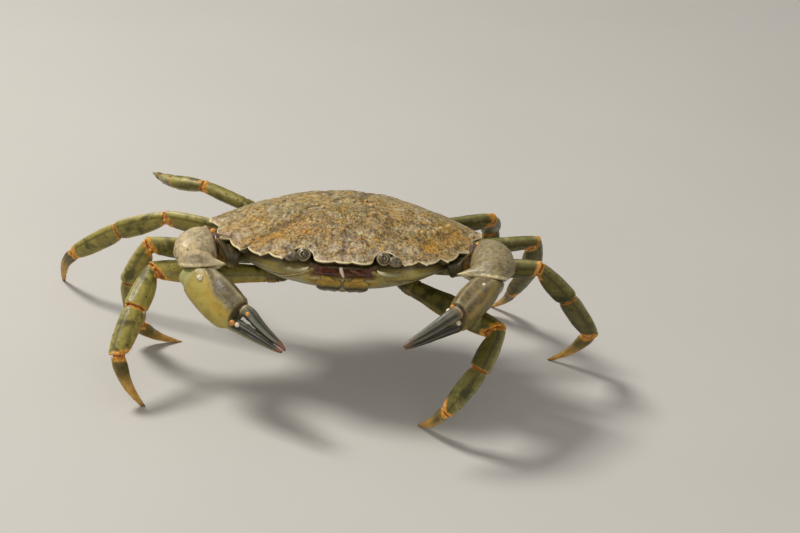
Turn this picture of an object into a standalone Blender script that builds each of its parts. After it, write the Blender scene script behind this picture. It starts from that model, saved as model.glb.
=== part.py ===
"""Shore crab (Carcinus maenas), adult, life size, standing with both claws held folded in
front of its mouth and one rear leg raised.  Millimetres inside, metres in the meshes.

The body frame has its origin midway between the tips of the last side teeth: +X is the
crab's left, +Y its rear, +Z up.  The legs are placed from the pose table.
"""
import math

import bmesh
import bpy
import numpy as np

for old in list(bpy.data.objects):
    bpy.data.objects.remove(old, do_unlink=True)

MM = 0.001
GAP = 0.35                      # clearance between neighbouring shell pieces

# ---------------------------------------------------------------- driving sizes (mm)
CARAPACE_HALF_WIDTH = 31.0      # to the tip of the last tooth
FRONT_Y = -21.9                 # tip of the middle frontal lobe
REAR_Y = 24.4                   # middle of the rear margin
DOME = 5.4                      # height of the back above the side margin
RIM = 0.9                       # thickness of the margin
BODY_HEIGHT = 35.7              # side margin above the floor
BODY_TILT_X = -0.7              # degrees, nose down is negative
BODY_TILT_Y = -1.45             # degrees, left side up is negative
CENTRE = (-3.8, 0.21)           # moves the model so that its box is centred on the origin

# Margin, from the middle of the front back to the last tooth: (x, y, z) of each tooth tip
# and of the notch behind it.  z is the height of the edge.
LOBES = [(0.0, -21.9, 0.45), (1.15, -21.8, 0.45), (1.95, -21.2, 0.5), (2.75, -21.6, 0.45),
         (4.3, -21.9, 0.4), (5.7, -21.5, 0.4)]
ORBIT = [(6.5, -20.7, 0.5), (7.1, -18.7, 1.2), (8.9, -17.5, 1.7), (10.8, -17.6, 1.45),
         (12.3, -19.0, 0.6)]
TEETH = [((13.5, -20.2, 0.1), (16.8, -17.5, 0.1)),
         ((18.4, -18.0, -0.4), (21.8, -13.7, -0.4)),
         ((23.2, -14.5, -0.9), (26.1, -9.0, -0.7)),
         ((28.0, -9.2, -0.6), (29.0, -3.0, -0.2)),
         ((31.0, -0.9, 0.0), (30.2, 2.4, -0.1))]
REAR = [(27.2, 7.4, -0.4), (22.4, 13.5, -1.0), (17.4, 18.9, -1.6), (13.6, 22.4, -2.0),
        (11.4, 23.9, -2.3), (7.0, REAR_Y + 0.1, -2.4), (2.5, REAR_Y, -2.4)]

# Body under the carapace: height, half width, front y, rear y of each level.
LEVELS = [(-4.2, 26.6, -19.4, 22.6), (-5.6, 23.8, -18.9, 21.8), (-7.4, 20.6, -16.9, 20.4),
          (-9.2, 17.8, -13.2, 18.4), (-11.2, 15.4, -9.0, 15.4), (-12.8, 12.2, -5.0, 12.2)]

# Pose table.  base (out from the middle, y, z), then length, bearing and rise in degrees of
# merus (with the two short pieces before it), carpus, propodus and dactyl.  Bearing 0 points
# straight out to that side and 90 to the rear.
POSE = {
    'leg2_right': ((14.3, -5.1, 25.0), ((29.1, -10, 1), (11.3, -72, -30), (12.2, -74, -39), (14.0, 176, -63))),
    'leg2_left': ((14.7, -5.1, 25.2), ((29.1, -44, -2), (12.7, -109, -21), (12.7, 165, -61), (13.2, 124, -41))),
    'leg3_right': ((15.3, 1.9, 26.0), ((30.7, -17, 8), (11.3, 32, -65), (15.6, 103, -65), (12.4, 153, -29))),
    'leg3_left': ((15.7, 1.9, 26.6), ((30.4, -12, 9), (11.6, 24, -45), (15.4, 44, -50), (16.1, 136, -45))),
    'leg4_right': ((14.3, 8.9, 26.6), ((29.7, 17, 1), (13.4, 19, -26), (15.7, 29, -37), (15.3, 69, -50))),
    'leg4_left': ((14.7, 8.9, 27.2), ((30.7, 11, 5), (12.1, 85, -54), (14.9, 108, -47), (14.6, 111, -38))),
    'leg5_right': ((11.3, 15.4, 28.2), ((24.3, 5, 19), (8.5, 34, -10), (10.9, 72, -18), (11.6, 80, -19))),
    'leg5_left': ((11.7, 15.4, 28.8), ((24.0, 18, 6), (9.3, 84, -35), (13.2, 86, -78), (13.8, 100, -71))),
    'claw_right': ((11.3, -11.8, 27.4), ((20.2, 11, 16.4), (10.2, -71, -25.5), (16.5, -135, -17), (15.5, -139, -13))),
    'claw_left': ((11.7, -11.8, 28.0), ((20.8, 11, 21.5), (12.0, -77, -12), (17.0, -118, -9), (15.2, -145, -18))),
}
LEG_SIZE = {'leg2': 0.96, 'leg3': 0.96, 'leg4': 0.86, 'leg5': 0.86}
# Half depth, half thickness along each leg piece, at fractions of its length.
LEG_PROFILES = {
    'merus': [(0.0, 1.9, 1.7), (0.22, 2.1, 1.6), (0.5, 2.75, 1.75), (0.8, 2.7, 1.8), (0.95, 2.35, 1.65), (1.0, 2.1, 1.5)],
    'carpus': [(0.0, 1.75, 1.4), (0.25, 2.35, 1.7), (0.6, 2.75, 1.85), (0.9, 2.75, 1.8), (1.0, 2.45, 1.6)],
    'propodus': [(0.0, 2.2, 1.45), (0.2, 2.65, 1.65), (0.55, 2.6, 1.55), (0.9, 2.15, 1.4), (1.0, 1.8, 1.25)],
    'dactyl': [(0.0, 1.5, 1.15), (0.14, 1.55, 1.15), (0.35, 1.3, 0.95), (0.6, 1.0, 0.78), (0.85, 0.62, 0.52), (1.0, 0.36, 0.36)],
}
PADDLE = [(0.0, 1.5, 1.1), (0.25, 2.1, 0.95), (0.6, 1.75, 0.8), (0.88, 0.85, 0.55), (1.0, 0.4, 0.4)]
DACTYL_BOW = 0.075               # outward bow of the last piece, as a share of its length
CLAW_MERUS = [(0.0, 1.8, 1.7), (0.3, 2.6, 2.4), (0.6, 3.6, 2.8), (0.9, 4.2, 3.0), (1.0, 3.4, 2.6)]
CLAW_CARPUS = [(0.0, 2.8, 2.6), (0.15, 4.2, 3.9), (0.4, 5.1, 4.7), (0.65, 5.2, 4.8), (0.85, 4.6, 4.3), (1.0, 3.5, 3.3)]
CARPUS_SHORT = 0.4              # the carpus ends this far before the wrist
CARPUS_BULGE = 2.0               # how far the carpus bulges to the outside
# The wrist's plane faces down and a little forwards, so that the carpus roofs the palm:
# its lift above the wrist point and its normal.
WRIST = {'right': (1.2, (0.10, -0.50, -0.86)), 'left': (1.0, (-0.08, -0.55, -0.83))}
SPINE = {'right': (1.0, -0.3, 0.35), 'left': (-1.0, -0.3, 0.1)}      # way the inner spine points
PALM_BULK = {'right': 0.45, 'left': 0.0}                              # extra depth of the lower edge
# Palm and fixed finger: distance from the wrist, half depth, half thickness, rise of the centre.
PALM = [(0.25, 2.6, 2.4, 0.0), (1.6, 3.6, 3.0, 0.0), (5.0, 4.3, 3.3, 0.0), (9.5, 4.55, 3.3, 0.0),
        (13.2, 4.3, 3.0, -0.05), (15.6, 3.65, 2.6, -0.1), (16.1, 1.75, 1.9, -1.9), (20.0, 1.45, 1.5, -1.75),
        (25.0, 1.05, 1.1, -1.25), (29.0, 0.55, 0.6, -0.6), (30.6, 0.32, 0.32, -0.3)]
FINGER = [(16.6, 1.4, 1.45, 2.0), (18.2, 1.4, 1.45, 2.1), (22.0, 1.2, 1.25, 1.8), (26.0, 0.92, 0.95, 1.35),
          (29.3, 0.55, 0.58, 0.85), (31.0, 0.3, 0.3, 0.5)]


def unit(v):
    v = np.asarray(v, float)
    return v / np.linalg.norm(v)


def make(name, verts, faces, colour, roughness=0.45, cutter=False):
    """One closed object from vertices in millimetres, in the model's own frame."""
    verts = np.asarray(verts, float) - np.array([CENTRE[0], CENTRE[1], 0.0])
    mesh = bpy.data.meshes.new(name)
    mesh.from_pydata([tuple(v * MM) for v in verts], [], faces)
    bm = bmesh.new()
    bm.from_mesh(mesh)
    bmesh.ops.triangulate(bm, faces=bm.faces[:])
    bmesh.ops.recalc_face_normals(bm, faces=bm.faces[:])
    bm.to_mesh(mesh)
    bm.free()
    mesh.shade_smooth()
    ob = bpy.data.objects.new(name, mesh)
    bpy.context.scene.collection.objects.link(ob)
    mat = bpy.data.materials.new(name)
    mat.use_nodes = True
    bsdf = mat.node_tree.nodes["Principled BSDF"]
    bsdf.inputs["Base Color"].default_value = (*colour, 1.0)
    bsdf.inputs["Roughness"].default_value = roughness
    mesh.materials.append(mat)
    if cutter:
        ob.hide_render = True
        ob.display_type = 'WIRE'
    return ob


def cut(ob, cutter):
    mod = ob.modifiers.new("cut", 'BOOLEAN')
    mod.operation = 'DIFFERENCE'
    mod.solver = 'EXACT'
    mod.object = cutter


def rings_to_mesh(rings):
    """Closed skin over a list of equal rings, with flat ends."""
    n = len(rings[0])
    verts = [p for ring in rings for p in ring]
    faces = []
    for j in range(len(rings) - 1):
        for i in range(n):
            k = (i + 1) % n
            faces.append((j * n + i, j * n + k, (j + 1) * n + k, (j + 1) * n + i))
    first = len(verts)
    verts.append(np.mean(rings[0], axis=0))
    verts.append(np.mean(rings[-1], axis=0))
    last = (len(rings) - 1) * n
    for i in range(n):
        k = (i + 1) % n
        faces.append((first, k, i))
        faces.append((first + 1, last + i, last + k))
    return verts, faces


def tilt(points):
    """Body frame to the standing model."""
    ax, ay = math.radians(BODY_TILT_X), math.radians(BODY_TILT_Y)
    rx = np.array([[1, 0, 0], [0, math.cos(ax), -math.sin(ax)], [0, math.sin(ax), math.cos(ax)]])
    ry = np.array([[math.cos(ay), 0, math.sin(ay)], [0, 1, 0], [-math.sin(ay), 0, math.cos(ay)]])
    return np.asarray(points, float) @ (ry @ rx).T + np.array([0, 0, BODY_HEIGHT])


# ---------------------------------------------------------------- outline of the carapace
def half_margin(toothed=True):
    """Right half of the margin from the middle of the front to the middle of the rear."""
    pts = [np.array(p) for p in LOBES + ORBIT]
    if not toothed:
        pts = [np.array(p) for p in LOBES[:1] + LOBES[-1:] + ORBIT[1:4]]
    for k, (tip, notch) in enumerate(TEETH):
        tip, notch = np.array(tip), np.array(notch)
        if toothed:
            out = unit([notch[1] - tip[1], tip[0] - notch[0], 0])   # outward of the tooth's edge
            pts += [tip, tip * 0.62 + notch * 0.38 + out * 0.75, tip * 0.25 + notch * 0.75 + out * 0.55, notch]
        else:
            pts += [notch] if k < 4 else [np.array([29.6, 1.5, 0.0])]
    pts += [np.array(p) for p in REAR]
    return pts


def loop_of(half):
    left = [p * [-1, 1, 1] for p in half[1:]][::-1]
    return np.array(half + left)


def resample(loop, n):
    """n points evenly spaced along a closed line, keeping none of its corners on purpose."""
    closed = np.vstack([loop, loop[:1]])
    d = np.r_[0, np.cumsum(np.linalg.norm(np.diff(closed, axis=0), axis=1))]
    t = np.arange(n) / n * d[-1]
    return np.stack([np.interp(t, d, closed[:, k]) for k in range(3)], axis=1)


def inward(loop, by):
    """Loop moved towards the middle of the back by a distance."""
    c = np.array([0, 2.0, 0])
    v = loop - c
    v[:, 2] = 0
    return loop - v / np.linalg.norm(v, axis=1)[:, None] * by


def back_height(x, y, r, edge):
    """Height of the back: a dome with grooves and swellings between its regions."""
    z = DOME * (1 - r ** 2.3) + edge * r ** 2.3
    fade = np.clip(1 - r ** 6, 0, 1)

    def hill(cx, cy, sx, sy, h):
        return h * (np.exp(-((x - cx) / sx) ** 2 - ((y - cy) / sy) ** 2) + np.exp(-((x + cx) / sx) ** 2 - ((y - cy) / sy) ** 2))
    z = z + fade * (hill(5.5, -8, 4.5, 5.5, 0.55) + hill(0, 9, 4.0, 5.0, 0.3) + hill(17, 3, 7, 7, 0.5)
                    - hill(9.5, 4.5, 2.2, 4.5, 0.7) - hill(12.5, -10, 3.0, 3.0, 0.5) - hill(0, 2.5, 6.0, 1.3, 0.25)
                    - hill(5.2, 10, 1.4, 4.5, 0.35))
    return z


RADII = (0.0, 0.22, 0.42, 0.6, 0.76, 0.89, 0.96, 1.0)


def carapace(grow=0.0):
    outer = loop_of(half_margin())
    outer = inward(outer, -grow)
    n = len(outer)
    c = np.array([0, 2.0, 0])
    rings = []
    for r in RADII[1:]:
        ring = c + (outer - c) * r
        ring[:, 2] = back_height(ring[:, 0], ring[:, 1], r, outer[:, 2]) + grow
        rings.append(ring)
    under = outer.copy()
    under[:, 2] -= RIM * 0.55 + grow
    rings.append(under)
    under = inward(outer, 1.3)
    under[:, 2] = outer[:, 2] - RIM * 1.25 - grow
    rings.append(under)
    under = c + (outer - c) * 0.84
    under[:, 2] = -1.7 - grow
    rings.append(under)
    verts = [p for ring in rings for p in ring]
    faces = []
    for j in range(len(rings) - 1):
        for i in range(n):
            k = (i + 1) % n
            faces.append((j * n + i, j * n + k, (j + 1) * n + k, (j + 1) * n + i))
    top = len(verts)
    verts.append(np.array([0, 2.0, float(back_height(np.array(0.0), np.array(2.0), 0.0, 0.0)) + grow]))
    verts.append(np.array([0, 2.0, -1.7 - grow]))
    last = (len(rings) - 1) * n
    for i in range(n):
        k = (i + 1) % n
        faces.append((top, k, i))
        faces.append((top + 1, last + i, last + k))
    return tilt(verts), faces


def level_ring(angles, z, half_width, front, rear, grow=0.0):
    cy = (front + rear) / 2
    half_len = (rear - front) / 2 + grow
    hw = half_width + grow
    c, s = np.cos(angles), np.sin(angles)
    e = 2 / 2.5
    return np.stack([hw * np.sign(c) * np.abs(c) ** e, cy + half_len * np.sign(s) * np.abs(s) ** e, np.full_like(c, z)], axis=1)


def trunk(grow=0.0):
    """The body below the carapace: side walls, mouth field and sternum, as stacked levels."""
    n = 48
    inner = inward(loop_of(half_margin(toothed=False)), 1.5 - grow)
    c = np.array([0, 2.0, 0])
    angles = np.arange(n) / n * 2 * math.pi
    # the margin line read at the same angles as the levels
    v = inner - c
    ang = np.unwrap(np.arctan2(v[:, 1] / 23.0, v[:, 0] / 29.0))
    order = np.argsort(ang % (2 * math.pi))
    sa = (ang % (2 * math.pi))[order]
    px = np.interp(angles, sa, inner[order, 0], period=2 * math.pi)
    py = np.interp(angles, sa, inner[order, 1], period=2 * math.pi)
    pz = np.interp(angles, sa, inner[order, 2], period=2 * math.pi)
    top = np.stack([px, py, np.minimum(pz - RIM * 1.25, -1.2) - GAP - 0.45 + grow], axis=1)
    top2 = c + (top - c) * 0.8
    top2[:, 2] = -1.7 - GAP - 0.05 + grow
    rings = [top2, top]
    for z, hw, front, rear in LEVELS:
        rings.append(level_ring(angles, z - (grow if z < -12 else 0), hw, front, rear, grow))
    return rings_to_mesh([tilt(r) for r in rings])


# ---------------------------------------------------------------- limbs
def untilt(points):
    """Standing model to the body frame."""
    ax, ay = math.radians(BODY_TILT_X), math.radians(BODY_TILT_Y)
    rx = np.array([[1, 0, 0], [0, math.cos(ax), -math.sin(ax)], [0, math.sin(ax), math.cos(ax)]])
    ry = np.array([[math.cos(ay), 0, math.sin(ay)], [0, 1, 0], [-math.sin(ay), 0, math.cos(ay)]])
    return (np.asarray(points, float) - np.array([0, 0, BODY_HEIGHT])) @ (ry @ rx)


def pressed_under(points):
    """Points of a limb, moved down where they would meet the margin of the carapace."""
    b = untilt(points)
    loop = loop_of(half_margin())
    ang = np.arctan2(loop[:, 1] - 2.0, loop[:, 0]) % (2 * math.pi)
    order = np.argsort(ang)
    here = np.arctan2(b[:, 1] - 2.0, b[:, 0]) % (2 * math.pi)
    reach = np.interp(here, ang[order], np.hypot(loop[order, 0], loop[order, 1] - 2.0), period=2 * math.pi)
    edge = np.interp(here, ang[order], loop[order, 2], period=2 * math.pi)
    dist = np.hypot(b[:, 0], b[:, 1] - 2.0)
    e = dist - reach                                    # beyond the margin
    inner = -1.7 - GAP - 0.15
    lip = edge - RIM * 1.25 - GAP
    t = np.clip((dist / reach - 0.84) / np.maximum(1 - 1.3 / reach - 0.84, 0.02), 0, 1)
    roof = np.where(e < -1.3, inner * (1 - t) + lip * t, 0.0)
    u = np.clip((e + 1.3) / 1.3, 0, 1)
    roof = np.where(e >= -1.3, lip * (1 - u) + (edge - 1.05) * u + np.clip(e - 0.8, 0, None) * 0.9, roof)
    k = 0.3                                             # softness of the press
    x = (roof - b[:, 2]) / k
    b[:, 2] = roof - k * (np.maximum(x, 0) + np.log1p(np.exp(-np.abs(x))))
    return tilt(b)


def direction(side, bearing, rise):
    b, r = math.radians(bearing), math.radians(rise)
    return np.array([side * math.cos(r) * math.cos(b), math.cos(r) * math.sin(b), math.sin(r)])


def joints(name):
    (bx, by, bz), segs = POSE[name]
    side = 1 if name.endswith('left') else -1
    p = [np.array([side * bx, by, bz])]
    for length, bearing, rise in segs:
        p.append(p[-1] + direction(side, bearing, rise) * length)
    if name.startswith('leg') and name != 'leg5_right':
        p[-1][2] = 0.0
    return p


def sample_profile(profile, t):
    a = np.array(profile)
    return [float(np.interp(t, a[:, 0], a[:, k])) for k in range(1, a.shape[1])]


def segment(a, b, normal, profile, start, end, size=1.0, sides=8, stations=None, bow=0.0, bump=None, press=False):
    """A tapered shell piece from a to b.  start and end are (point, normal) planes that its
    ends are cut to, so that neighbours meet in one plane with a gap."""
    d = unit(b - a)
    n = unit(normal - np.dot(normal, d) * d)
    up = np.cross(n, d)
    if stations is None:
        stations = [p[0] for p in profile]
    angles = (np.arange(sides) + 0.5) / sides * 2 * math.pi

    def offset(t, phi):
        hh, ht = sample_profile(profile, t)[:2]
        c, s = math.cos(phi), math.sin(phi)
        u = hh * size * math.copysign(abs(c) ** 0.85, c)
        v = ht * size * math.copysign(abs(s) ** 0.85, s)
        return up * (u + bow * math.sin(math.pi * t)) + n * v

    def reach(off, plane):
        p, m = plane
        return float(np.dot(p - (a + off), m) / np.dot(d, m))
    rings = []
    for t in stations:
        ring = []
        for phi in angles:
            s0 = reach(offset(0.0, phi), start)
            s1 = reach(offset(1.0, phi), end)
            off = offset(t, phi)
            if t == 0.0:
                s = s0
            elif t == 1.0:
                s = s1
            else:
                s = s0 + (s1 - s0) * t
            q = a + off + d * s
            if bump is not None:
                q = q + bump(t, phi, up, n, d)
            ring.append(q)
        if press:
            ring = pressed_under(np.array(ring))
            if t == 1.0:                                # and back into the joint's plane
                ring = ring + d * (((end[0] - ring) @ end[1]) / np.dot(d, end[1]))[:, None]
        rings.append(ring)
    return rings_to_mesh(rings)


def limb_frame(p, name):
    m = np.cross(p[1] - p[0], p[3] - p[1])
    m = unit(m)
    up = np.cross(m, unit(p[1] - p[0]))
    return m if up[2] > 0 else -m


def mitre(p, k, shift):
    """Plane between the pieces that meet at joint k, moved along the limb by shift."""
    d0, d1 = unit(p[k] - p[k - 1]), unit(p[k + 1] - p[k])
    m = unit(d0 + d1)
    return (p[k] + m * shift, m)


def wrist(p, side, shift):
    """Plane of a wrist, moved along the limb by shift."""
    lift, n = WRIST[side]
    n = unit(np.array(n))
    return (p[2] + np.array([0, 0, lift]) + n * shift, n)


OLIVE, TAN, PALE, ORANGE, DARK = (0.22, 0.2, 0.06), (0.36, 0.27, 0.1), (0.55, 0.5, 0.33), (0.6, 0.22, 0.04), (0.05, 0.03, 0.02)

trunk_cutter = make('cutter_trunk', *trunk(GAP), DARK, cutter=True)
carapace_cutter = make('cutter_carapace', *carapace(GAP), DARK, cutter=True)
make('carapace', *carapace(), OLIVE)
make('trunk', *trunk(), TAN)

for name in POSE:
    p = joints(name)
    m = limb_frame(p, name)
    kind, side = name.split('_')
    if kind != 'claw':
        size = LEG_SIZE[kind]
        start = (p[0], unit(p[1] - p[0]))
        pieces = (('merus', 0), ('carpus', 1), ('propodus', 2), ('dactyl', 3))
        for piece, k in pieces:
            if k > 0:
                start = mitre(p, k, GAP / 2)
            end = mitre(p, k + 1, -GAP / 2) if k < 3 else (p[4], unit(p[4] - p[3]))
            if k == 3 and p[4][2] == 0.0:
                end = (p[4], np.array([0, 0, 1.0]))
            profile = PADDLE if (kind == 'leg5' and k == 3) else LEG_PROFILES[piece]
            bow = DACTYL_BOW * np.linalg.norm(p[4] - p[3]) if k == 3 else 0.0
            stations = [0.0, 0.14, 0.25, 0.35, 0.45, 0.55, 0.65, 0.75, 0.85, 0.94, 1.0] if k == 0 else None
            ob = make('%s_%s_%s' % (kind, side, piece),
                      *segment(p[k], p[k + 1], m, profile, start, end, size, stations=stations, bow=bow, press=k == 0),
                      OLIVE if k < 3 else TAN)
            if k == 0:
                cut(ob, trunk_cutter)
                cut(ob, carapace_cutter)
        continue
    # claw: merus, carpus with its inner spine, palm with the fixed finger, movable finger
    start = (p[0], unit(p[1] - p[0]))
    ob = make('claw_%s_merus' % side, *segment(p[0], p[1], m, CLAW_MERUS, start, mitre(p, 1, -GAP / 2), sides=12,
                                                      stations=[0.0, 0.15, 0.3, 0.45, 0.6, 0.7, 0.8, 0.9, 1.0], press=True), OLIVE)
    cut(ob, trunk_cutter)
    cut(ob, carapace_cutter)
    sgn = 1 if side == 'left' else -1
    inner = unit(np.array(SPINE[side]))

    def spine(t, phi, up, n, d, inner=inner, sgn=sgn):
        off = up * math.cos(phi) + n * math.sin(phi)
        w = max(0.0, float(np.dot(unit(off), inner)))
        bulge = np.array([sgn, 0, 0]) * CARPUS_BULGE * math.sin(math.pi * t ** 0.8)
        return inner * 2.4 * w ** 6 * math.exp(-((t - 0.86) / 0.16) ** 2) + bulge
    view = np.array([0, 0.917, -0.40])
    make('claw_%s_carpus' % side, *segment(p[1], p[2], m, CLAW_CARPUS, mitre(p, 1, GAP / 2), wrist(p, side, -GAP / 2 - CARPUS_SHORT), sides=14, bump=spine), TAN)
    # palm line through wrist, finger joint and tip
    line = np.array([p[2], p[3], p[4]])
    q = unit(p[4] - p[2])
    rise_axis = np.cross(q, view)
    rise_axis = unit(rise_axis if rise_axis[2] > 0 else -rise_axis)
    roll = math.radians(58.0 if side == 'left' else 6.0)
    facing = np.cross(q, rise_axis)
    if facing[1] > 0:
        facing = -facing
    rise_axis = unit(rise_axis * math.cos(roll) + facing * math.sin(roll))

    def station_rings(rows, sides, line=line, rise_axis=rise_axis, m0=wrist(p, side, GAP / 2), bulk=PALM_BULK[side]):
        l0 = np.linalg.norm(line[1] - line[0])
        rings = []
        for s, hh, ht, rise in rows:
            if 1.0 < s < 15.0:
                hh, rise = hh + 0.6 * bulk, rise - bulk
            w = 1 / (1 + math.exp(-(s - l0) / 2.0))
            d0, d1 = unit(line[1] - line[0]), unit(line[2] - line[1])
            d = unit(d0 * (1 - w) + d1 * w)
            c = line[0] + d0 * min(s, l0) + d1 * max(0.0, s - l0)
            up = unit(rise_axis - np.dot(rise_axis, d) * d)
            n = np.cross(d, up)
            ring = []
            for i in range(sides):
                phi = (i + 0.5) / sides * 2 * math.pi
                cc, ss = math.cos(phi), math.sin(phi)
                off = up * (rise + hh * math.copysign(abs(cc) ** 0.85, cc)) + n * ht * math.copysign(abs(ss) ** 0.85, ss)
                pt = c + off
                short = float(np.dot(m0[0] - pt, m0[1])) + (0.0 if s < 1.0 else 0.15 * s)
                if s < 1.0 or short > 0.0:      # the wrist end lies in the joint's plane
                    pt = pt + d * short / float(np.dot(d, m0[1]))
                ring.append(pt)
            rings.append(ring)
        return rings
    make('claw_%s_palm' % side, *rings_to_mesh(station_rings(PALM, 12)), TAN)
    make('claw_%s_finger' % side, *rings_to_mesh(station_rings(FINGER, 10)), PALE)


# ---------------------------------------------------------------- eyes, feelers, mouth, abdomen
def ball(centre, radius, squash=1.0, n=10, rows=6):
    rings = []
    for j in range(rows):
        th = (j + 0.5) / rows * math.pi
        rings.append([centre + np.array([radius * math.sin(th) * math.cos(a), radius * math.sin(th) * math.sin(a), radius * squash * math.cos(th)])
                      for a in np.arange(n) / n * 2 * math.pi])
    return rings


def rod(points, radii, sides=6):
    """Thin tapering rod through points."""
    pts = [np.array(p, float) for p in points]
    rings = []
    ref = np.array([0.2, 0.1, 1.0])
    for i, p in enumerate(pts):
        d = unit(pts[min(i + 1, len(pts) - 1)] - pts[max(i - 1, 0)])
        u = unit(np.cross(d, ref))
        v = np.cross(d, u)
        rings.append([p + radii[i] * (u * math.cos(a) + v * math.sin(a)) for a in np.arange(sides) / sides * 2 * math.pi])
    return rings


EYE = (8.9, -19.7, 1.0)
# the right antennule hangs down across the middle, the left one lies folded in its pit
ANTENNULES = {'right': ((-0.5, -21.2, -1.0), (-0.35, -21.5, -1.7), (-0.05, -21.4, -2.5), (0.2, -21.0, -3.3)),
              'left': ((1.7, -21.1, -1.5), (2.7, -21.3, -1.8), (3.8, -21.2, -2.2), (4.7, -20.9, -2.5))}
for side, sgn in (('left', 1), ('right', -1)):
    flip = np.array([sgn, 1, 1])
    make('eye_%s' % side, *rings_to_mesh([tilt(r) for r in ball(np.array(EYE) * flip, 1.5)]), DARK, 0.1)
    make('eyestalk_%s' % side, *rings_to_mesh([tilt(r) for r in rod([np.array(q) * flip for q in ((10.9, -20.2, 0.65), (11.6, -20.3, 0.55), (12.2, -20.4, 0.4), (12.7, -20.6, 0.15))], (0.9, 1.15, 0.95, 0.5), 8)]), TAN)
    make('antenna_%s' % side, *rings_to_mesh([tilt(r) for r in rod([np.array(q) * flip for q in ((6.6, -21.4, -1.6), (8.2, -22.0, -2.3), (9.9, -22.2, -2.9), (11.7, -22.0, -3.4), (13.4, -21.4, -3.8))], (0.5, 0.42, 0.32, 0.26, 0.22))]), ORANGE)
    make('antennule_%s' % side, *rings_to_mesh([tilt(r) for r in rod(ANTENNULES[side], (0.38, 0.42, 0.36, 0.28))]), PALE)

# Outer jaw feet: two plates that close the mouth field, lying on the underside of the body.
def under_front(z):
    rows = np.array([(-r[0], r[2]) for r in LEVELS])
    return float(np.interp(-z, rows[:, 0], rows[:, 1]))


def plate(path, halves, thick, x_mid=0.0, out=GAP, cross=5, camber=0.0):
    """Plate that follows a path in the (y, z) plane, lying off it by a gap."""
    path = [np.array(p, float) for p in path]
    rings = []
    for i, p in enumerate(path):
        d = unit(path[min(i + 1, len(path) - 1)] - path[max(i - 1, 0)])
        nrm = np.array([d[1], -d[0]])          # outward: down and forward
        w = halves[i]
        lo, hi = [], []
        for k in range(cross):
            x = w * (2 * k / (cross - 1) - 1)
            cam = camber * (1 - (x / max(w, 1e-6)) ** 2)
            q = p + nrm * (out + cam * 0.5)
            lo.append(np.array([x_mid + x, q[0], q[1]]))
            q = p + nrm * (out + thick + cam)
            hi.append(np.array([x_mid + x, q[0], q[1]]))
        rings.append(lo + hi[::-1])
    return rings_to_mesh([tilt(r) for r in rings])


jaw_path = [(under_front(z), z) for z in (-4.5, -5.6, -7.2, -9.2, -10.9)]
for side, sgn in (('left', 1), ('right', -1)):
    make('maxilliped_%s' % side, *plate(jaw_path, (2.2, 2.75, 2.8, 2.5, 1.7), 0.75, x_mid=sgn * 3.05, out=GAP + 0.1), TAN)

tail_path = [(22.9, -4.6), (21.9, -5.8), (20.5, -7.4), (18.3, -9.3), (15.2, -11.3), (11.9, -12.9), (6.0, -13.0), (1.0, -13.0), (-3.4, -13.0)]
make('abdomen', *plate(tail_path[::-1], (1.4, 3.0, 4.2, 4.9, 6.0, 7.2, 8.3, 8.8, 8.6), 1.1, out=GAP + 0.15), PALE)
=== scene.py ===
import math

import bpy
import numpy as np
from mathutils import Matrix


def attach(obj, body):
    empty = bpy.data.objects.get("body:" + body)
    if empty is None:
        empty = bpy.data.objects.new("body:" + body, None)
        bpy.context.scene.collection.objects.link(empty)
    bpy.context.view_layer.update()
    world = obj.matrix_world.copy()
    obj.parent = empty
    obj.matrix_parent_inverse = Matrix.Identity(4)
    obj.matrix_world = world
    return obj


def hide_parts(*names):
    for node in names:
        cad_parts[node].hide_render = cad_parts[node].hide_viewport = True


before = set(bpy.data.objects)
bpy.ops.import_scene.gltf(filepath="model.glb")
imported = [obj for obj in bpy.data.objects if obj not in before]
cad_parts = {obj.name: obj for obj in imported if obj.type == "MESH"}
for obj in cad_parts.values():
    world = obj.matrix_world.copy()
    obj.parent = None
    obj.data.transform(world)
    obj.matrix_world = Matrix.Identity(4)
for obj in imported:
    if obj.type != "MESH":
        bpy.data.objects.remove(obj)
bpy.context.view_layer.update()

MM = 0.001
CENTRE = np.array([-3.8, 0.21, 0.0])
BODY_HEIGHT, BODY_TILT_X, BODY_TILT_Y = 35.7, -0.7, -1.45
DOME, RIM, REAR_Y, GAP = 5.4, 0.9, 24.4, 0.35
LOBES = [(0.0, -21.9, 0.45), (1.15, -21.8, 0.45), (1.95, -21.2, 0.5), (2.75, -21.6, 0.45),
         (4.3, -21.9, 0.4), (5.7, -21.5, 0.4)]
ORBIT = [(6.5, -20.7, 0.5), (7.1, -18.7, 1.2), (8.9, -17.5, 1.7), (10.8, -17.6, 1.45),
         (12.3, -19.0, 0.6)]
TEETH = [((13.5, -20.2, 0.1), (16.8, -17.5, 0.1)),
         ((18.4, -18.0, -0.4), (21.8, -13.7, -0.4)),
         ((23.2, -14.5, -0.9), (26.1, -9.0, -0.7)),
         ((28.0, -9.2, -0.6), (29.0, -3.0, -0.2)),
         ((31.0, -0.9, 0.0), (30.2, 2.4, -0.1))]
REAR = [(27.2, 7.4, -0.4), (22.4, 13.5, -1.0), (17.4, 18.9, -1.6), (13.6, 22.4, -2.0),
        (11.4, 23.9, -2.3), (7.0, REAR_Y + 0.1, -2.4), (2.5, REAR_Y, -2.4)]
LEVELS = [(-4.2, 26.6, -19.4, 22.6), (-5.6, 23.8, -18.9, 21.8), (-7.4, 20.6, -16.9, 20.4),
          (-9.2, 17.8, -13.2, 18.4), (-11.2, 15.4, -9.0, 15.4), (-12.8, 12.2, -5.0, 12.2)]
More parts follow.
